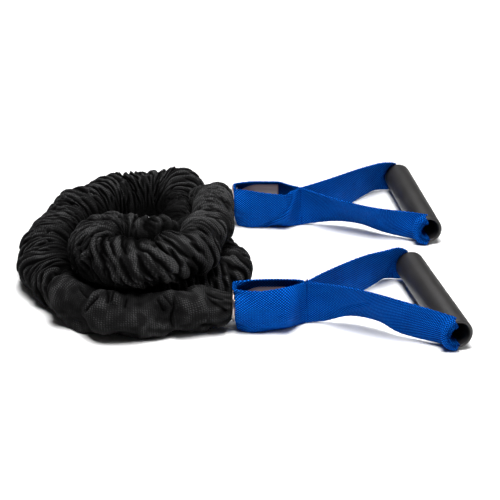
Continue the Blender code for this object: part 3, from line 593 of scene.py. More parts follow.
def fill(tree, node, sockets):
    """Sets a node's inputs to values, or links them to the outputs of other nodes."""
    for key, value in sockets.items():
        if isinstance(value, bpy.types.NodeSocket):
            tree.links.new(value, node.inputs[key])
        else:
            node.inputs[key].default_value = value


def add_node(tree, kind, sockets, **properties):
    """Adds a node, fills in its inputs and returns its outputs."""
    made = tree.nodes.new(kind)
    for key, value in properties.items():
        setattr(made, key, value)
    fill(tree, made, sockets)
    return made.outputs


def between(tree, value, low, high):
    """Runs from low to high as a value runs from 0 to 1."""
    return add_node(tree, "ShaderNodeMapRange", {"Value": value, "To Min": low, "To Max": high})["Result"]


class Shader:
    """A Principled material and short ways to add nodes to it."""

    def __init__(self, name, specular, metallic=0.0):
        self.material = bpy.data.materials.new(name)
        self.material.use_nodes = True
        self.tree = self.material.node_tree
        self.surface = self.tree.nodes["Principled BSDF"]
        fill(self.tree, self.surface, {"Specular IOR Level": specular, "Metallic": metallic})

    def coordinates(self, output="Object", scale=(1, 1, 1)):
        place = add_node(self.tree, "ShaderNodeTexCoord", {})[output]
        return add_node(self.tree, "ShaderNodeMapping", {"Vector": place, "Scale": scale})["Vector"]

    def thread_ways(self):
        """Coordinates along and across the cloth, in metres."""
        return add_node(self.tree, "ShaderNodeSeparateXYZ", {0: self.coordinates("UV")})[:2]

    def noise(self, vector, scale, detail, roughness=0.5):
        sockets = {"Vector": vector, "Scale": scale, "Detail": detail, "Roughness": roughness}
        return add_node(self.tree, "ShaderNodeTexNoise", sockets)["Fac"]

    def maths(self, operation, *values):
        return add_node(self.tree, "ShaderNodeMath", dict(enumerate(values)), operation=operation)[0]

    def weighted(self, *parts):
        """The sum of patterns, each times its own share."""
        total = 0.0
        for pattern, share in parts:
            total = self.maths("MULTIPLY_ADD", pattern, share, total)
        return total

    def wave(self, coordinate, pitch, phase=0.0):
        """A sine of a coordinate, from 0 to 1."""
        turns = self.maths("MULTIPLY_ADD", coordinate, TURN / pitch, phase)
        return self.maths("MULTIPLY_ADD", self.maths("SINE", turns), 0.5, 0.5)

    def ramp(self, factor, tones):
        made = self.tree.nodes.new("ShaderNodeValToRGB")
        for place, _ in tones[2:]:
            made.color_ramp.elements.new(place)
        for element, (place, colour) in zip(made.color_ramp.elements, tones):
            element.position = place
            element.color = (*colour, 1.0)
        fill(self.tree, made, {"Fac": factor})
        return made.outputs["Color"]

    def bumps(self, heights, sizes):
        """Patterns as bumps, each on top of the one before; sizes has a distance and a strength for each."""
        under = {}
        for height, (distance, strength) in zip(heights, sizes):
            sockets = {"Height": height, "Distance": distance, "Strength": strength, **under}
            under = {"Normal": add_node(self.tree, "ShaderNodeBump", sockets)["Normal"]}
        return under["Normal"]

    def finish(self, colour, worn_by, rough, normal):
        """Links the colour and the bumps, and a roughness that runs with a pattern."""
        roughness = between(self.tree, worn_by, *rough)
        fill(self.tree, self.surface, {"Base Color": colour, "Roughness": roughness, "Normal": normal})
        return self.material


def cloth_material():
    """Charcoal woven nylon: fine crossing threads and lint, with painted light on crests and painted shade in
    folds.
    """
    shader = Shader("sleeve_cloth", CLOTH_SPECULAR)
    u, v = shader.thread_ways()
    place = shader.coordinates()
    patches, cloud, lint = (shader.noise(place, *noise) for noise in CLOTH_NOISES)
    threads = shader.maths("MULTIPLY", *[shader.wave(w, pitch) for w, pitch in zip((u, v), CLOTH_THREADS)])
    twill = shader.wave(shader.maths("ADD", u, v), CLOTH_TWILL)
    patchy = shader.maths("MULTIPLY_ADD", patches, *PATCHY_GAIN)
    weave = shader.maths("MULTIPLY", shader.weighted((threads, 1.0), (twill, TWILL_SHARE)), patchy)
    shade = shader.weighted(*zip((weave, cloud, lint), CLOTH_SHARES))
    # Painted light and shade of the sleeve's folds, hollows, creases and necks, read from a point attribute
    light = add_node(shader.tree, "ShaderNodeAttribute", {}, attribute_name="painted_light_and_shade")["Fac"]
    tone_with_painted_shade = shader.maths("MULTIPLY", shade, shader.maths("MULTIPLY_ADD", light, *PAINTED_LIGHT_GAIN))
    return shader.finish(shader.ramp(tone_with_painted_shade, CLOTH_TONES), cloud, CLOTH_ROUGH,
                         shader.bumps((weave, lint), CLOTH_BUMPS))


def webbing_material():
    """Blue flat-woven webbing: staggered rows of thread crossings with small glossy specks."""
    shader = Shader("webbing_blue", WEB_SPECULAR)
    u, v = shader.thread_ways()
    place = shader.coordinates()
    even, odd = (shader.maths("MULTIPLY", shader.wave(u, WEAVE_PITCH, phase),
                              shader.wave(v, WEAVE_ROW, phase)) for phase in (0.0, math.pi))
    crossings = shader.maths("POWER", shader.maths("MAXIMUM", even, odd), CROSSING_POWER)
    cloud, fleck = (shader.noise(place, *noise) for noise in WEB_NOISES)
    shade = shader.weighted(*zip((crossings, cloud, fleck), WEB_SHARES))
    height = shader.weighted((crossings, 1.0), (shader.wave(u, WEAVE_PITCH / 2), RIDGE_SHARE))
    return shader.finish(shader.ramp(shade, WEB_TONES), crossings, WEB_ROUGH,
                         shader.bumps((height, fleck), WEB_BUMPS))


def grainy_material(name, tones, rough, specular, cloud, grain, share=0.35, bump=(0.00012, 0.5),
                    stretch=(1, 1, 1), metallic=0.0, detail=5.0, worn_by_grain=False):
    """A skin with cloudy tones and a fine grain, each of a given scale; rough is a range of roughness."""
    shader = Shader(name, specular, metallic)
    clouds = shader.noise(shader.coordinates(), cloud, detail)
    grains = shader.noise(shader.coordinates(scale=stretch), grain, GRAIN_DETAIL)
    shade = shader.weighted((clouds, 1 - share), (grains, share))
    return shader.finish(shader.ramp(shade, tones), grains if worn_by_grain else clouds, rough,
                         shader.bumps([grains], [bump]))


def make_looks():
    """The material of each kind of piece."""
    looks = {kind: grainy_material(**skin) for kind, skin in SKINS.items()}
    return {**looks, "webbing": webbing_material(), "cloth": cloth_material()}


# Stage

def make_camera():
    data = bpy.data.cameras.new("camera")
    data.lens = CAMERA_LENS
    data.sensor_width = CAMERA_SENSOR
    data.clip_end = CAMERA_CLIP
    camera = add_object("camera", data)
    camera.location = plan(*CAMERA_PLACE)
    camera.rotation_euler = (math.radians(90) - CAMERA_PITCH, 0.0, 0.0)
    bpy.context.scene.camera = camera


def make_light(name, place, aim, size, power):
    data = bpy.data.lights.new(name, "AREA")
    data.shape = "DISK"
    data.size = size
    data.energy = power
    light = add_object(name, data)
    light.location = plan(*place)
    light.rotation_euler = Vector(plan(*aim) - plan(*place)).to_track_quat("-Z", "Y").to_euler()


def make_surround():
    """A white surround that glows more overhead than at the horizon."""
    world = bpy.data.worlds.new("studio")
    world.use_nodes = True
    tree = world.node_tree
    place = add_node(tree, "ShaderNodeTexCoord", {})["Generated"]
    height = add_node(tree, "ShaderNodeSeparateXYZ", {0: place})["Z"]
    fill(tree, tree.nodes["Background"], {"Strength": between(tree, height, GLOW_LOW, GLOW_HIGH)})
    bpy.context.scene.world = world


def make_stage():
    """Pale floor that runs on past the view, soft lights and a white surround."""
    shader = Shader("pale_floor", FLOOR_SPECULAR)
    grain = shader.noise(shader.coordinates(), *FLOOR_NOISE)
    colour = shader.ramp(grain, FLOOR_TONES)
    fill(shader.tree, shader.surface, {"Roughness": FLOOR_ROUGH, "Base Color": colour})
    verts = [(x * FLOOR_SIZE, y * FLOOR_SIZE, 0) for x, y in ((-1, -1), (1, -1), (1, 1), (-1, 1))]
    add_mesh("floor", verts, [(0, 1, 2, 3)], shader.material)
    make_surround()
    for light in LIGHTS:
        make_light(*light)
    bpy.context.scene.view_settings.view_transform = "Standard"


# Cord

def grommet_front_x(end):
    return end.face_x - WEB_THICKNESS / 2 - SEAT_GAP - FLANGE_THICKNESS - FLANGE_DOME


def bulb_start_x(end):
    return end.face_x + WEB_THICKNESS / 2 + SEAT_GAP + WASHER_THICKNESS + SEAT_GAP + GROMMET_WALL + SEAT_GAP


def cord_route():
    """Centre line of the cord from the front grommet to the rear one, with the sleeve's full radius."""
    front, rear = (grommet_front_x(end) - SEAT_GAP for end in (FRONT, REAR))
    start = [(front - END_STRAIGHT_FRONT * t, *FRONT.axis, OUTER_RADIUS) for t in (0.0, 0.5, 1.0)]
    finish = [(rear - END_STRAIGHT_REAR * t, *REAR.axis, REAR_END_RADIUS) for t in (1.0, 0.5, 0.0)]
    low, high = np.array(TURN_START), np.array(TURN_END)
    turn = (low + high) / 2 - np.outer(np.cos(TURN_ANGLES), (high - low) / 2)
    turn[:, 0] += np.linalg.norm(high - low) / 2 * np.sin(TURN_ANGLES)
    turn = np.column_stack([turn, np.full(len(turn), INNER_RADIUS)])
    rows = np.vstack([start, ROUTE_LOWER, turn, ROUTE_UPPER, finish])
    return [(*Vector(plan(*row[:3])), row[3]) for row in rows]


def straighten_ends(points, length):
    along = np.linspace(0, length, len(points))
    near = along <= END_STRAIGHT_FRONT
    far = length - along <= END_STRAIGHT_REAR
    points[near, 1:3] = points[0, 1:3]
    points[far, 1:3] = points[-1, 1:3]
    return points, along


def smooth_noise(along, angle, long, round_most, count, seed):
    """Smooth noise on the tube, of unit strength, with a least wave length and a most number of lobes."""
    rng = np.random.default_rng(seed)
    found = np.zeros((len(along), len(angle)))
    for _ in range(count):
        wave_length = long * (1 + NOISE_SPREAD * rng.random())
        lobes = rng.integers(0, round_most + 1)
        phase = rng.random(2) * TURN
        found += np.outer(np.cos(TURN * along / wave_length + phase[0]), np.cos(lobes * angle + phase[1]))
    return found / math.sqrt(count / 4)


def turn_between(angle, place):
    """Angles from a place round the tube, from half a turn back to half a turn on."""
    return (angle - place + math.pi) % TURN - math.pi


def fold_field(along, angle, pitch, spread, slant, wander, long, wide, seed):
    """A field of forking folds across the tube: its phase from -1 to 1 and its strength from 0 to 1.

    Small wave packets, long and wide, each cross the tube near the pitch and the slant given along it.
    Where packets of unlike phase meet, folds fork or end, as gathers in cloth do.
    """
    rng = np.random.default_rng(seed)
    field = np.zeros((len(along), len(angle)), complex)
    length = along[-1]
    step = along[1] - along[0]
    reach = PACKET_REACH * long
    for _ in range(int(PACKET_CROWD * length * TURN * GIRTH_RADIUS / (long * wide))):
        at = rng.random() * length
        turn = rng.random() * TURN
        wave_length = np.interp(at, along, pitch) * max(PITCH_LEAST, 1 + spread * rng.normal())
        lean = np.interp(at, along, slant) + wander * rng.normal()
        phase = rng.random() * TURN
        rows = slice(max(0, int((at - reach) / step)), int((at + reach) / step) + 1)
        s = (along[rows] - at)[:, None]
        across = turn_between(angle, turn) * GIRTH_RADIUS
        near = np.abs(across) < PACKET_REACH * wide
        b = across[near]
        envelope = np.exp(-0.5 * (s / long) ** 2) * np.exp(-0.5 * (b / wide) ** 2)
        field[rows, near] += envelope * np.exp(1j * (TURN / wave_length * (s + lean * b) + phase))
    strength = np.abs(field)
    strength /= np.percentile(strength, FULL_STRENGTH)
    return np.angle(field) / math.pi, np.clip(strength, 0, 1)


def crests(phase):
    """Rounded crests and valleys: 1 at phase 0 to 0 at phase -1 or 1."""
    return (0.5 + 0.5 * np.cos(math.pi * phase)) ** CREST_POWER


def neck_share(distance, reach):
    """0 at a grommet to 1 where the sleeve has its full girth."""
    return np.sin(np.clip(distance / reach, 0, 1) * math.pi / 2) ** NECK_POWER


def by_place(path, along, table):
    """Columns of values along the cord, given at plan places in the table's first three, smoothly between."""
    at = np.array([along[np.linalg.norm(path - plan(*row[:3]), axis=1).argmin()] for row in table])
    order = at.argsort()
    soft = max(3, int(STYLE_SOFT / (along[1] - along[0])))
    window = np.hanning(2 * soft + 1)
    found = []
    for values in table[order, 3:].T:
        made = np.pad(np.interp(along, at[order], values), soft, mode="edge")
        found.append(np.convolve(made, window / window.sum(), mode="valid"))
    return found


def patch(along, angle, place, degrees, spread, girth):
    """A soft patch of unit height on the tube round a place along it and degrees round it."""
    across = turn_between(angle, math.radians(degrees)) * GIRTH_RADIUS
    return np.outer(np.exp(-0.5 * ((along - place) / spread) ** 2), np.exp(-0.5 * (across / girth) ** 2))


def nearest_on_line(line, place):
    """How far each place is from a line, on which side of it, and where along it from 0 to 1."""
    run = np.diff(line, axis=0)
    offset = place[..., None, :] - line[:-1]
    t = np.clip((offset * run).sum(axis=-1) / (run ** 2).sum(axis=-1), 0, 1)
    far = np.linalg.norm(offset - t[..., None] * run, axis=-1)
    cross = run[:, 0] * offset[..., 1] - run[:, 1] * offset[..., 0]
    share = (np.arange(len(run)) + t) / len(run)
    best = far.argmin(axis=-1)[..., None]
    return [np.take_along_axis(values, best, axis=-1)[..., 0] for values in (far, np.sign(cross), share)]


def crease_shapes(along, angle):
    """Height that the single creases add to the cloth, and how deep in one each point lies, which sets the
    painted shade in the creases.
    """
    height = np.zeros((len(along), len(angle)))
    inside = np.zeros((len(along), len(angle)))
    for points, *sizes in CREASES:
        depth, width, swell = metres(sizes)
        line = np.array(points) * (MM, math.radians(1) * GIRTH_RADIUS)
        line = smooth_curve(line, np.linspace(0, len(line) - 1, CREASE_STEPS * (len(line) - 1) + 1))
        rows = (along > line[:, 0].min() - CREASE_REACH) & (along < line[:, 0].max() + CREASE_REACH)
        place = np.stack(np.meshgrid(along[rows], angle * GIRTH_RADIUS, indexing="ij"), axis=2)
        far, beside, share = nearest_on_line(line, place)
        far = far / width
        taper = smooth_step(share, 0, CREASE_TAPER) * smooth_step(1 - share, 0, CREASE_TAPER)
        cut = CREASE_NARROW * np.exp(-far ** 2) + CREASE_WIDE * np.exp(-(far / CREASE_WIDE_AT) ** 2)
        lip = np.exp(-((far - LIP_AT) / LIP_REACH) ** 2) * (beside * np.sign(swell) > 0)
        lip *= smooth_step(far, 0, LIP_START)
        height[rows] += (abs(swell) * lip - depth * cut) * taper
        inside[rows] = np.maximum(inside[rows], np.exp(-(far / CREASE_INSIDE) ** 2) * taper)
    return height, inside


def darken(value, share, low, high):
    """1 where the value is low, less by a share where it is high."""
    return 1 - share * smooth_step(value, low, high)


def cloth_light(along, deep, crumple, swell, main, broad):
    """Painted light and shade of the gathered cloth: lightest on its crests, painted shade down into its
    folds.
    """
    (phase, strength), (broad_phase, broad_strength) = main, broad
    light = SMOOTH_PAINTED_LIGHT + (1 - SMOOTH_PAINTED_LIGHT) * deep
    for value, (share, low, high) in ((-crumple, CRUMPLE_SHADE), (-swell, BILLOW_SHADE)):
        light = light * darken(value, share * (1 - deep), low, high)
    groove = GROOVE_FROM + sum(more * smooth_step(along, low, high) for more, low, high in GROOVE_STEPS)
    groove = groove[:, None]
    light = light * darken(np.abs(phase), deep * GROOVE_SHADE * strength, groove, groove + GROOVE_SOFT)
    share, low, high = BUNDLE_SHADE
    return light * darken(np.abs(broad_phase), deep * share * broad_strength, low, high)


def sleeve_relief(path, along, angle, length):
    """Height of the cloth over its mean radius, its lean along the cord, and its painted light and shade."""
    pitch, depth, slant, billow = by_place(path, along, FOLD_STYLE)
    depth, billow = depth[:, None], billow[:, None]
    main, broad, fine = (fold_field(along, angle, part * pitch, spread, slant, wander, long, wide, SEED + k)
                         for k, (part, spread, wander, long, wide) in enumerate(FIELDS))
    amount = AMOUNT_MEAN + AMOUNT_SWING * smooth_noise(along, angle, *AMOUNT_NOISE)
    amount = np.clip(amount, AMOUNT_LEAST, AMOUNT_MOST) * main[1]
    gathers, bundles, crimps = (crests(phase) - CREST_MEAN for phase, _ in (main, broad, fine))
    swell = smooth_noise(along, angle, *BILLOW_NOISE)
    crumple = smooth_noise(along, angle, *CRUMPLE_NOISE)
    deep = np.clip(depth / DEEP_FOLD, 0, 1)
    relief = depth * (gathers * amount + BUNDLE_SHARE * bundles * broad[1] + CRIMP_SHARE * crimps * fine[1])
    relief += BILLOW_GAIN * billow * swell + CRUMPLE_HEIGHT * (1 - deep) * crumple
    to_side = np.clip(LEAN_GAIN * smooth_noise(along, angle, *LEAN_NOISE), -1, 1)
    lean = LEAN_SHARE * depth * crests(main[0]) * amount * to_side
    light = cloth_light(along, deep, crumple, swell, main, broad)
    turns = NECK_PLEATS * angle + NECK_PLEAT_WAVE * np.sin(2 * angle)
    pleats = np.cos(turns + NECK_PLEAT_TWIST * along[:, None])
    for near, reach in zip((along, length - along), NECK_REACHES):
        near = near[:, None]
        drawn = np.exp(-(near / reach) ** 2)
        rise = NECK_PLEAT_HEIGHT * np.clip(near / NECK_PLEAT_START, NECK_PLEAT_LEAST, 1)
        relief = relief * (1 - NECK_CALM * drawn) + rise * pleats * drawn
        lean = lean * (1 - drawn)
        # Painted shade drawn into the necks: lighter on the pleats' crests and darker between them
        light = light * (1 - drawn) + drawn * (NECK_PAINTED_LIGHT + NECK_PAINTED_LIGHT_SWING * pleats)
    # Painted shade in the coil's hollow and gaps, and painted light where the share is less than none
    for *where, share in PAINTED_SHADES:
        light = light * (1 - share * patch(along, angle, *where))
    # Painted shade deep in the single creases
    creased, inside = crease_shapes(along, angle)
    return relief + creased, lean, np.clip(light * (1 - CREASE_SHADE * inside), 0, PAINTED_LIGHT_MOST)


def contact_limit(points, radius, along, out):
    """How far each point of the sleeve may stand from its centre line before it meets another stretch."""
    centres, reaches, places = (values[::CONTACT_STEP] for values in (points[:, :3], radius, along))
    limit = np.full(out.shape[:2], FAR_OFF)
    for i in range(len(points)):
        apart = centres - points[i, :3]
        square = (apart ** 2).sum(axis=1)
        other = (np.abs(places - along[i]) > NEIGHBOUR_REACH) & (square < CONTACT_REACH ** 2)
        if other.any():
            toward = out[i] @ apart[other].T
            excess = square[other] + radius[i] ** 2 - reaches[other] ** 2
            room = np.where(toward > CONTACT_LEAST, excess / (2 * np.maximum(toward, CONTACT_LEAST)), FAR_OFF)
            limit[i] = room.min(axis=1)
    return limit


def soft_least(a, b, blend):
    """The lesser of two values, rounded off where they are about equal."""
    h = np.clip(0.5 + 0.5 * (b - a) / blend, 0, 1)
    return b + (a - b) * h - blend * h * (1 - h)


def lay_on_floor(rings):
    """Presses what is too low flat above the floor."""
    least = FLOOR_CLEAR + FLOOR_ROUND
    under = np.maximum(least - rings[:, :, 2], 0.0)
    pressed = FLOOR_CLEAR + FLOOR_ROUND * np.exp(-under / FLOOR_ROUND)
    rings[:, :, 2] = np.where(rings[:, :, 2] < least, pressed, rings[:, :, 2])


def sleeve_surface():
    """Rings of the sleeve's outside and lining, the cloth's painted light and shade, its path and places
    along.
    """
    points, length = even_curve(cord_route(), SLEEVE_STEP)
    points, along = straighten_ends(points, length)
    path = points[:, :3]
    angle = np.linspace(0, TURN, SLEEVE_SIDES, endpoint=False)
    heading, side, up = frames(np.gradient(path, axis=0))
    out = spokes(side, up, angle)
    radius = points[:, 3]
    for distance, reach in zip((along, length - along), NECK_LENGTHS):
        radius = NECK_RADIUS + (radius - NECK_RADIUS) * neck_share(distance, reach)
    widening = by_place(path, along, WIDENING)[0][:, None]
    to_side = np.clip(np.cos(angle) * np.sign(widening), 0, 1) ** WIDENING_POWER
    reach = radius[:, None] + np.abs(widening) * to_side
    base = path[:, None, :] + out * reach[:, :, None]
    for *place, spread, height in BULGES:
        gap = np.linalg.norm(base - plan(*place), axis=2)
        reach = reach + height * np.exp(-0.5 * (gap / spread) ** 2)
    for *where, height in SWELLS:
        reach = reach + height * patch(along, angle, *where)
    relief, lean, light = sleeve_relief(path, along, angle, length)
    limit = contact_limit(points, reach.mean(axis=1), along, out)
    reach = soft_least(reach + relief, np.minimum(limit - CONTACT_GAP, REACH_MOST), CONTACT_BLEND)
    reach = np.maximum(reach, LINING_RADIUS + LINING_COVER)
    rings = path[:, None, :] + out * reach[:, :, None] + heading[:, None, :] * lean[:, :, None]
    lay_on_floor(rings)
    return rings, path[:, None, :] + out * LINING_RADIUS, light, path, along, length


def make_sleeve(material):
    rings, lining, light, path, along, length = sleeve_surface()
    count, sides = rings.shape[:2]
    back = np.unique(np.append(np.arange(0, count, LINING_STEP), count - 1))[::-1]
    verts = np.concatenate([rings, lining[back]])
    u = np.concatenate([along, along[back], [0.0]])
    v = np.linspace(0, TURN, sides + 1) * GIRTH_RADIUS
    faces = grid_faces(len(verts), sides, close_rows=True)
    made = add_mesh("gathered_sleeve", verts, faces, material, grid_uv(u, v))
    # The painted light and shade is kept on the outside's points; the lining gets none and is darkest
    values = np.concatenate([light.ravel(), np.zeros(len(back) * sides)])
    height = made.data.attributes.new("painted_light_and_shade", "FLOAT", "POINT")
    height.data.foreach_set("value", values.astype(np.float32))
    return made, path, length


# Webbing

def across():
    """Places across the webbing, from -1 at the bottom edge to 1 at the top, closer together at the edges."""
    flat = 1 - 2 * WEB_ROUND / WEB_WIDTH
    edge = flat + (1 - flat) * WEB_ROUND_PLACES
    return np.concatenate([-edge[::-1], np.linspace(-flat, flat, WEB_ACROSS), edge])


def loop_sections(end):
    """Sections of a loop, from the tack along the front, round the grommet's face and back to the tack."""
    w = across()
    z = WEB_WIDTH / 2 + (WEB_WIDTH / 2 - WEB_EDGE_INSET) * w
    above = z - end.axis[1]
    reach = WASHER_RADIUS + LOOP_CORNER_ROUND / 2
    half = (LOOP_CORNER_LEAST ** 4 + np.maximum(0.0, reach ** 2 - above ** 2) ** 2) ** 0.25
    past = np.maximum(0.0, np.abs(above) - LOOP_FACE_FLAT)
    lean = np.where(above > 0, LOOP_TOP_LEAN, -LOOP_FOOT_LEAN) * past ** 2

    def side(sign):
        ply = WEB_THICKNESS / 2 + SEAT_GAP / 2
        rows = [plan(end.tack[0], end.tack[1] + sign * ply, z)]
        for x, y, mid, near_bottom, near_top, far in end.loop:
            edge = far if sign > 0 else np.where(w > 0, near_top, near_bottom)
            rows.append(plan(x, y + sign * (mid + (edge - mid) * w * w), z))
        return rows

    def corner(sign, degrees):
        turn = math.radians(degrees)
        return plan(end.face_x - lean + LOOP_CORNER_ROUND * (1 - math.cos(turn)),
                    end.axis[0] + sign * (half + LOOP_CORNER_ROUND * math.sin(turn)), z)

    return side(-1) + [corner(*place) for place in LOOP_CORNERS] + side(1)[::-1]


def ply_sections(tack, points):
    """Flat sections across the way from the tack, their tops leaning to the right of it."""
    found = []
    last = tack
    for x, y, z, lean in points:
        heading = math.atan2(y - last[1], x - last[0])
        lean = math.radians(lean)
        up = (math.sin(lean) * math.sin(heading), -math.sin(lean) * math.cos(heading), math.cos(lean))
        found.append(plan(x, y, z) + np.outer(across() * (WEB_WIDTH / 2 - WEB_EDGE_INSET), up))
        last = (x, y)
    return found


def wrap_section(grip, along, radius, tilt, reach, pleat):
    """A section curled round the grip's axis on the side of the cord, with pleats of a given depth."""
    x, y, turn = grip
    w = across()
    out = np.array((math.sin(turn), -math.cos(turn), 0.0))
    left = (-math.cos(turn), -math.sin(turn), 0.0)
    angle = tilt + reach * w - WRAP_UNDER * np.maximum(0.0, -w) ** 2
    drawn = radius - pleat * (0.5 + 0.5 * np.cos(TURN * PLEATS * w + PLEAT_START))
    curl = np.outer(drawn * np.cos(angle), left) + np.outer(drawn * np.sin(angle), UP)
    return plan(x, y, GRIP_AXIS_Z) + out * along + curl


def rim_sections(grip, near):
    """Sections from the grip's outside over one rim and into its bore, where the webbing is pleated."""
    stand = WEB_PLY / 2 + WRAP_GAP
    outside = GRIP_RADIUS + stand
    inside = GRIP_RADIUS - GRIP_WALL - stand
    reach = WEB_WIDTH / 2 / outside
    tilt = WRAP_TILT_NEAR if near else WRAP_TILT_FAR
    depths = (-WRAP_RUN, -RIM_BACK, RIM_SWELL * stand, stand, RIM_SWELL * stand, -RIM_BACK, -WRAP_RUN)
    radii = (outside, outside, outside - RIM_EASE, (outside + inside) / 2, inside + RIM_EASE, inside, inside)
    rows = list(zip(depths, radii, PLEAT_SHARES))
    found = []
    for depth, radius, pleat in rows if near else rows[2:]:
        along = depth if near else -GRIP_LENGTH - depth
        wide = reach * (1 + PLEAT_SPREAD * pleat)
        found.append(wrap_section(grip, along, radius, tilt, wide, pleat * PLEAT_DEPTH))
    return found


def strap_sections(end):
    """Sections round the whole strap: the loop, the near ply, through the grip, and the far ply."""
    near = ply_sections(end.tack, end.near_ply)
    far = ply_sections(end.tack, end.far_ply)
    through = rim_sections(end.grip, True) + rim_sections(end.grip, False)[::-1]
    return loop_sections(end)[::-1] + near + through + far[::-1]


def press_folds(surface):
    """Presses the straps' folds into the plies that face the camera, with a swell on the right of each."""
    for points, sides, *sizes in STRAP_FOLDS:
        width, depth = metres(sizes)
        line = metres(points) - (MIDDLE_X, 0.0)
        line = smooth_curve(line, np.linspace(0, len(line) - 1, FOLD_LINE_STEPS * len(line)))
        low, high = metres(sides) - MIDDLE_Y
        here = (surface[:, :, 1] > low) & (surface[:, :, 1] < high)
        offset = surface[:, :, None, [0, 2]] - line
        gap = np.linalg.norm(offset, axis=3)
        nearest = gap.argmin(axis=2)[:, :, None]
        right = np.take_along_axis(offset[:, :, :, 0], nearest, axis=2)[:, :, 0] > 0
        gap = gap.min(axis=2) / width
        swell = FOLD_SWELL * right * np.exp(-((gap - FOLD_SWELL_AT) / FOLD_SWELL_REACH) ** 2)
        surface[:, :, 1] += depth * (np.exp(-gap ** 2) - swell) * here
    return surface


def make_strap(end, material):
    """One closed strip of webbing with rounded, finely scalloped edges."""
    surface = press_folds(smooth_surface(strap_sections(end), WEB_STEP))
    places = across()
    following = np.roll(surface, -1, axis=0)
    sideways = unit(np.gradient(surface, axis=1))
    normal = unit(np.cross(following - np.roll(surface, 1, axis=0), sideways))
    steps = np.linalg.norm(following - surface, axis=2)[:, len(places) // 2]
    u = np.append(0, np.cumsum(steps))
    flat = 1 - 2 * WEB_ROUND / WEB_WIDTH
    drop = np.clip((np.abs(places) - flat) / (1 - flat), 0, 1)
    half = normal * (WEB_PLY / 2 * np.sqrt(1 - drop ** 2))[:, None]
    scallop = SCALLOP * np.sin(TURN * u[:-1] / WEAVE_PITCH)
    surface = surface + sideways * (np.sign(places) * drop)[:, None] * scallop[:, None, None]
    rings = np.concatenate([surface + half, (surface - half)[:, -2:0:-1]], axis=1)
    width = (places + 1) / 2 * WEB_WIDTH
    v = np.concatenate([width, 2 * WEB_WIDTH - width[-2::-1]])
    faces = grid_faces(*rings.shape[:2], close_rows=True)
    return add_closed(end.side + "strap", rings, faces, material, grid_uv(u, v))


def stitch_lines(end, depth):
    """Upright row of stitches through both plies."""
    angle = np.linspace(0, TURN, STITCH_POINTS, endpoint=False)
    x, y = np.cos(angle), np.sin(angle)
    wide = end.tack[0] + STITCH_REACH * np.copysign(np.abs(x) ** STITCH_SQUARE_X, x)
    thick = end.tack[1] + depth * np.copysign(np.abs(y) ** STITCH_SQUARE_Y, y)
    heights = WEB_WIDTH / 2 + TACK_HEIGHT * ((np.arange(STITCHES) + 0.5) / STITCHES - 0.5)
    return [plan(wide, thick, z + STITCH_SLANT * x * (-1) ** i) for i, z in enumerate(heights)]


def tuft_lines(end, depth):
    """A few loose thread ends at the tack's top or foot."""
    rng = np.random.default_rng(TUFT_SEED)
    root, least, more = end.tuft
    t = np.linspace(0, 1, TUFT_POINTS)
    found = []
    for _ in range(TUFTS):
        climb = least + more * rng.random()
        drift = rng.normal(size=2) * TUFT_DRIFT
        start = plan(end.tack[0] + rng.normal() * TUFT_SPREAD, end.tack[1] - depth * TUFT_ROOT_SHARE, root)
        found.append(start + np.column_stack([drift[0] * t * t, (drift[1] - TUFT_FORWARD) * t, climb * t]))
    return found


def make_tack(end, material):
    """Stitches and loose threads, each thread a separate closed body."""
    depth = WEB_THICKNESS / 2 + SEAT_GAP / 2 + WEB_PLY / 2
    verts = []
    faces = []
    for looped, lines in ((True, stitch_lines(end, depth)), (False, tuft_lines(end, depth))):
        for line in lines:
            round_on = np.roll(line, -1, axis=0) - np.roll(line, 1, axis=0)
            heading = round_on if looped else np.gradient(line, axis=0)
            first = len(verts) * THREAD_SIDES
            verts.extend(rings_round(line, heading, THREAD_RADIUS, THREAD_SIDES, THREAD_UPRIGHT))
            faces += grid_faces(len(line), THREAD_SIDES, first, close_rows=looped)
            if not looped:
                faces += [tuple(range(ring, ring + THREAD_SIDES))
                          for ring in (first, (len(verts) - 1) * THREAD_SIDES)]
    return add_closed(end.side + "tack_stitches", verts, faces, material)


# Hard pieces

def make_grip(end, material):
    x, y, turn = end.grip
    inner = GRIP_RADIUS - GRIP_WALL
    r = GRIP_ROUND
    top = GRIP_LENGTH - r
    profile = (arc((GRIP_RADIUS - r, top), r, 90, 0) + arc((GRIP_RADIUS - r, r), r, 0, -90)
               + arc((inner + r, r), r, 270, 180) + arc((inner + r, top), r, 180, 90))
    direction = (-math.sin(turn), math.cos(turn), 0)
    return turned(end.side + "grip_tube", profile, plan(x, y, GRIP_AXIS_Z), direction, material)


def turned_on_cord(end, name, profile, x, material, closed=True):
    return turned(end.side + name, profile, plan(x, *end.axis), (1, 0, 0), material, closed)


def make_grommet(end, material):
    """Domed flange on the sleeve's side, barrel and a lip rolled over the washer."""
    hole = TUBE_RADIUS + TURN_GAP
    barrel = hole + GROMMET_WALL
    back = -WEB_THICKNESS / 2 - SEAT_GAP
    front = back - FLANGE_THICKNESS
    lip = -back + WASHER_THICKNESS + SEAT_GAP
    round_lip = arc((barrel + GROMMET_LIP / 4, lip + GROMMET_WALL / 2), GROMMET_WALL / 2, 90, -90)
    edge = arc((FLANGE_RADIUS - FLANGE_THICKNESS / 2, (back + front) / 2), FLANGE_THICKNESS / 2, 90, -90)
    dome = [(FLANGE_RADIUS - (FLANGE_RADIUS - hole) * t, front - FLANGE_DOME * math.sin(math.pi * t))
            for t in DOME_PLACES]
    profile = [(hole, lip + GROMMET_WALL / 2), *round_lip, (barrel, lip), (barrel, back), *edge, *dome,
               (hole, front)]
    return turned_on_cord(end, "eyelet", profile, end.face_x, material)


def make_washer(end, material):
    low = WEB_THICKNESS / 2 + SEAT_GAP
    inner = TUBE_RADIUS + TURN_GAP + GROMMET_WALL + SEAT_GAP
    half = WASHER_THICKNESS / 2
    edge = arc((WASHER_RADIUS - half, low + half), half, 90, -90)
    profile = [(inner, low + WASHER_THICKNESS), *edge, (inner, low)]
    return turned_on_cord(end, "eyelet_washer", profile, end.face_x, material)


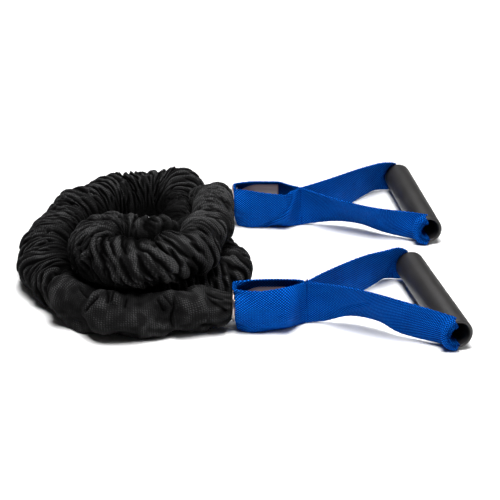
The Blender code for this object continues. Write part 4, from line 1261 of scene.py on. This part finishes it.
def make_plug(end, material):
    edge = arc((PLUG_RADIUS - PLUG_EDGE, PLUG_LENGTH - PLUG_EDGE), PLUG_EDGE, 90, 0, PLUG_EDGE_STEPS)
    profile = [(0.0, PLUG_LENGTH), *edge, (PLUG_RADIUS, PLUG_NOSE), (PLUG_TIP_RADIUS, 0.0), (0.0, 0.0)]
    tip = bulb_start_x(end) + BULB_CONE + BULB_LENGTH - PLUG_SETBACK - PLUG_LENGTH
    return turned_on_cord(end, "plug_core", profile, tip, material, closed=False)


def make_tie(end, material):
    """Four turns of cord bound round the tube inside the sleeve's neck."""
    inner = TUBE_RADIUS + SEAT_GAP
    profile = []
    for i in range(round(TIE_WIDTH / (2 * TIE_THREAD))):
        middle = TIE_WIDTH - (2 * i + 1) * TIE_THREAD
        profile += arc((inner + TIE_THREAD, middle), TIE_THREAD, TIE_ARC, -TIE_ARC)
    profile += [(inner, 0.0), (inner, TIE_WIDTH)]
    start = grommet_front_x(end) - TIE_SETBACK - TIE_WIDTH
    return turned_on_cord(end, "neck_binding", profile, start, material)


def tube_end_rows(end):
    """Outer and bore rows of one swollen end, from the grommet outwards: place, radius."""
    pocket = PLUG_RADIUS + SEAT_GAP
    tip = BULB_CONE + BULB_LENGTH
    nose = tip - PLUG_SETBACK - PLUG_LENGTH
    grown = BULB_RADIUS - TUBE_RADIUS
    outer = [(t * BULB_CONE, TUBE_RADIUS + grown * math.sin(t * math.pi / 2) ** BULB_POWER)
             for t in np.linspace(0, 1, BULB_STEPS)]
    outer += [(BULB_CONE + t * (BULB_LENGTH - BULB_EDGE), BULB_RADIUS) for t in BULB_MIDDLES]
    outer += [(x, r) for r, x in arc((BULB_RADIUS - BULB_EDGE, tip - BULB_EDGE), BULB_EDGE, 0, 90)]
    inner = [(tip, pocket + POCKET_EDGE), (tip - POCKET_EDGE, pocket), (nose + PLUG_NOSE, pocket),
             (nose, TUBE_BORE)]
    start = bulb_start_x(end)
    return [[(*plan(start + x, *end.axis), r) for x, r in rows] for rows in (outer, inner)]


def make_tube(path, material):
    """Latex tube along the whole cord, open at both ends round the plugs."""
    front_outer, front_inner = tube_end_rows(FRONT)
    rear_outer, rear_inner = tube_end_rows(REAR)
    line, bore = ([(*place, radius) for place in path[::TUBE_EVERY]] for radius in (TUBE_RADIUS, TUBE_BORE))

    def rings(rows):
        rows = np.array(rows)
        nudged = rows[:, :3] + np.arange(len(rows))[:, None] * TUBE_NUDGE
        return rings_round(rows[:, :3], np.gradient(nudged, axis=0), rows[:, 3], TUBE_SIDES)

    outer = rings(front_outer[::-1] + line + rear_outer)
    inner = rings(front_inner + bore + rear_inner[::-1])
    verts = np.concatenate([outer, inner[::-1]])
    faces = grid_faces(len(verts), TUBE_SIDES, close_rows=True)
    return add_closed("elastic_tube_latex", verts, faces, material, sharp=TUBE_SHARP)


# Pieces on their bodies

def declare(piece, slot, body, *nodes):
    """Names the body that a piece rides on and the nodes that it replaces; slot is not used."""
    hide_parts(*nodes)
    if body is not None:
        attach(piece, body)
    return piece


def dress_end(end, looks):
    """All that is outside the cord at one of its ends; returns what is on the cord there."""
    side = end.side
    bends = [tuple(plan(end.tack[0] + reach, end.tack[1], TACK_MIDDLE)) for reach in (-TACK_BEND, TACK_BEND)]
    strap = make_strap(end, looks["webbing"])
    stitches = make_tack(end, looks["thread"])
    for piece in (strap, stitches):
        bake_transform(piece)
    declare(strap, "webbing", None, side + "loop_webbing", side + "handle_webbing")
    declare(stitches, "thread", None, side + "strap_tack")
    declare(make_grip(end, looks["grip"]), "grip_plastic", side + "grip_body", side + "grip")
    declare(make_grommet(end, looks["metal"]), "grommet_metal", side + "loop", side + "grommet")
    declare(make_washer(end, looks["metal"]), "grommet_metal", side + "loop", side + "grommet_washer")
    return [declare(make_plug(end, looks["plug"]), "plug_plastic", "cord", side + "end_plug"),
            declare(make_tie(end, looks["tie"]), "tie_nylon", "cord", side + "sleeve_tie")]


make_camera()
make_stage()
looks = make_looks()
sleeve, sleeve_path, sleeve_length = make_sleeve(looks["cloth"])
declare(sleeve, "sleeve_cloth", "cord", "sleeve")
on_cord = [declare(make_tube(sleeve_path, looks["latex"]), "latex", "cord", "elastic_tube")]
on_cord += dress_end(FRONT, looks) + dress_end(REAR, looks)
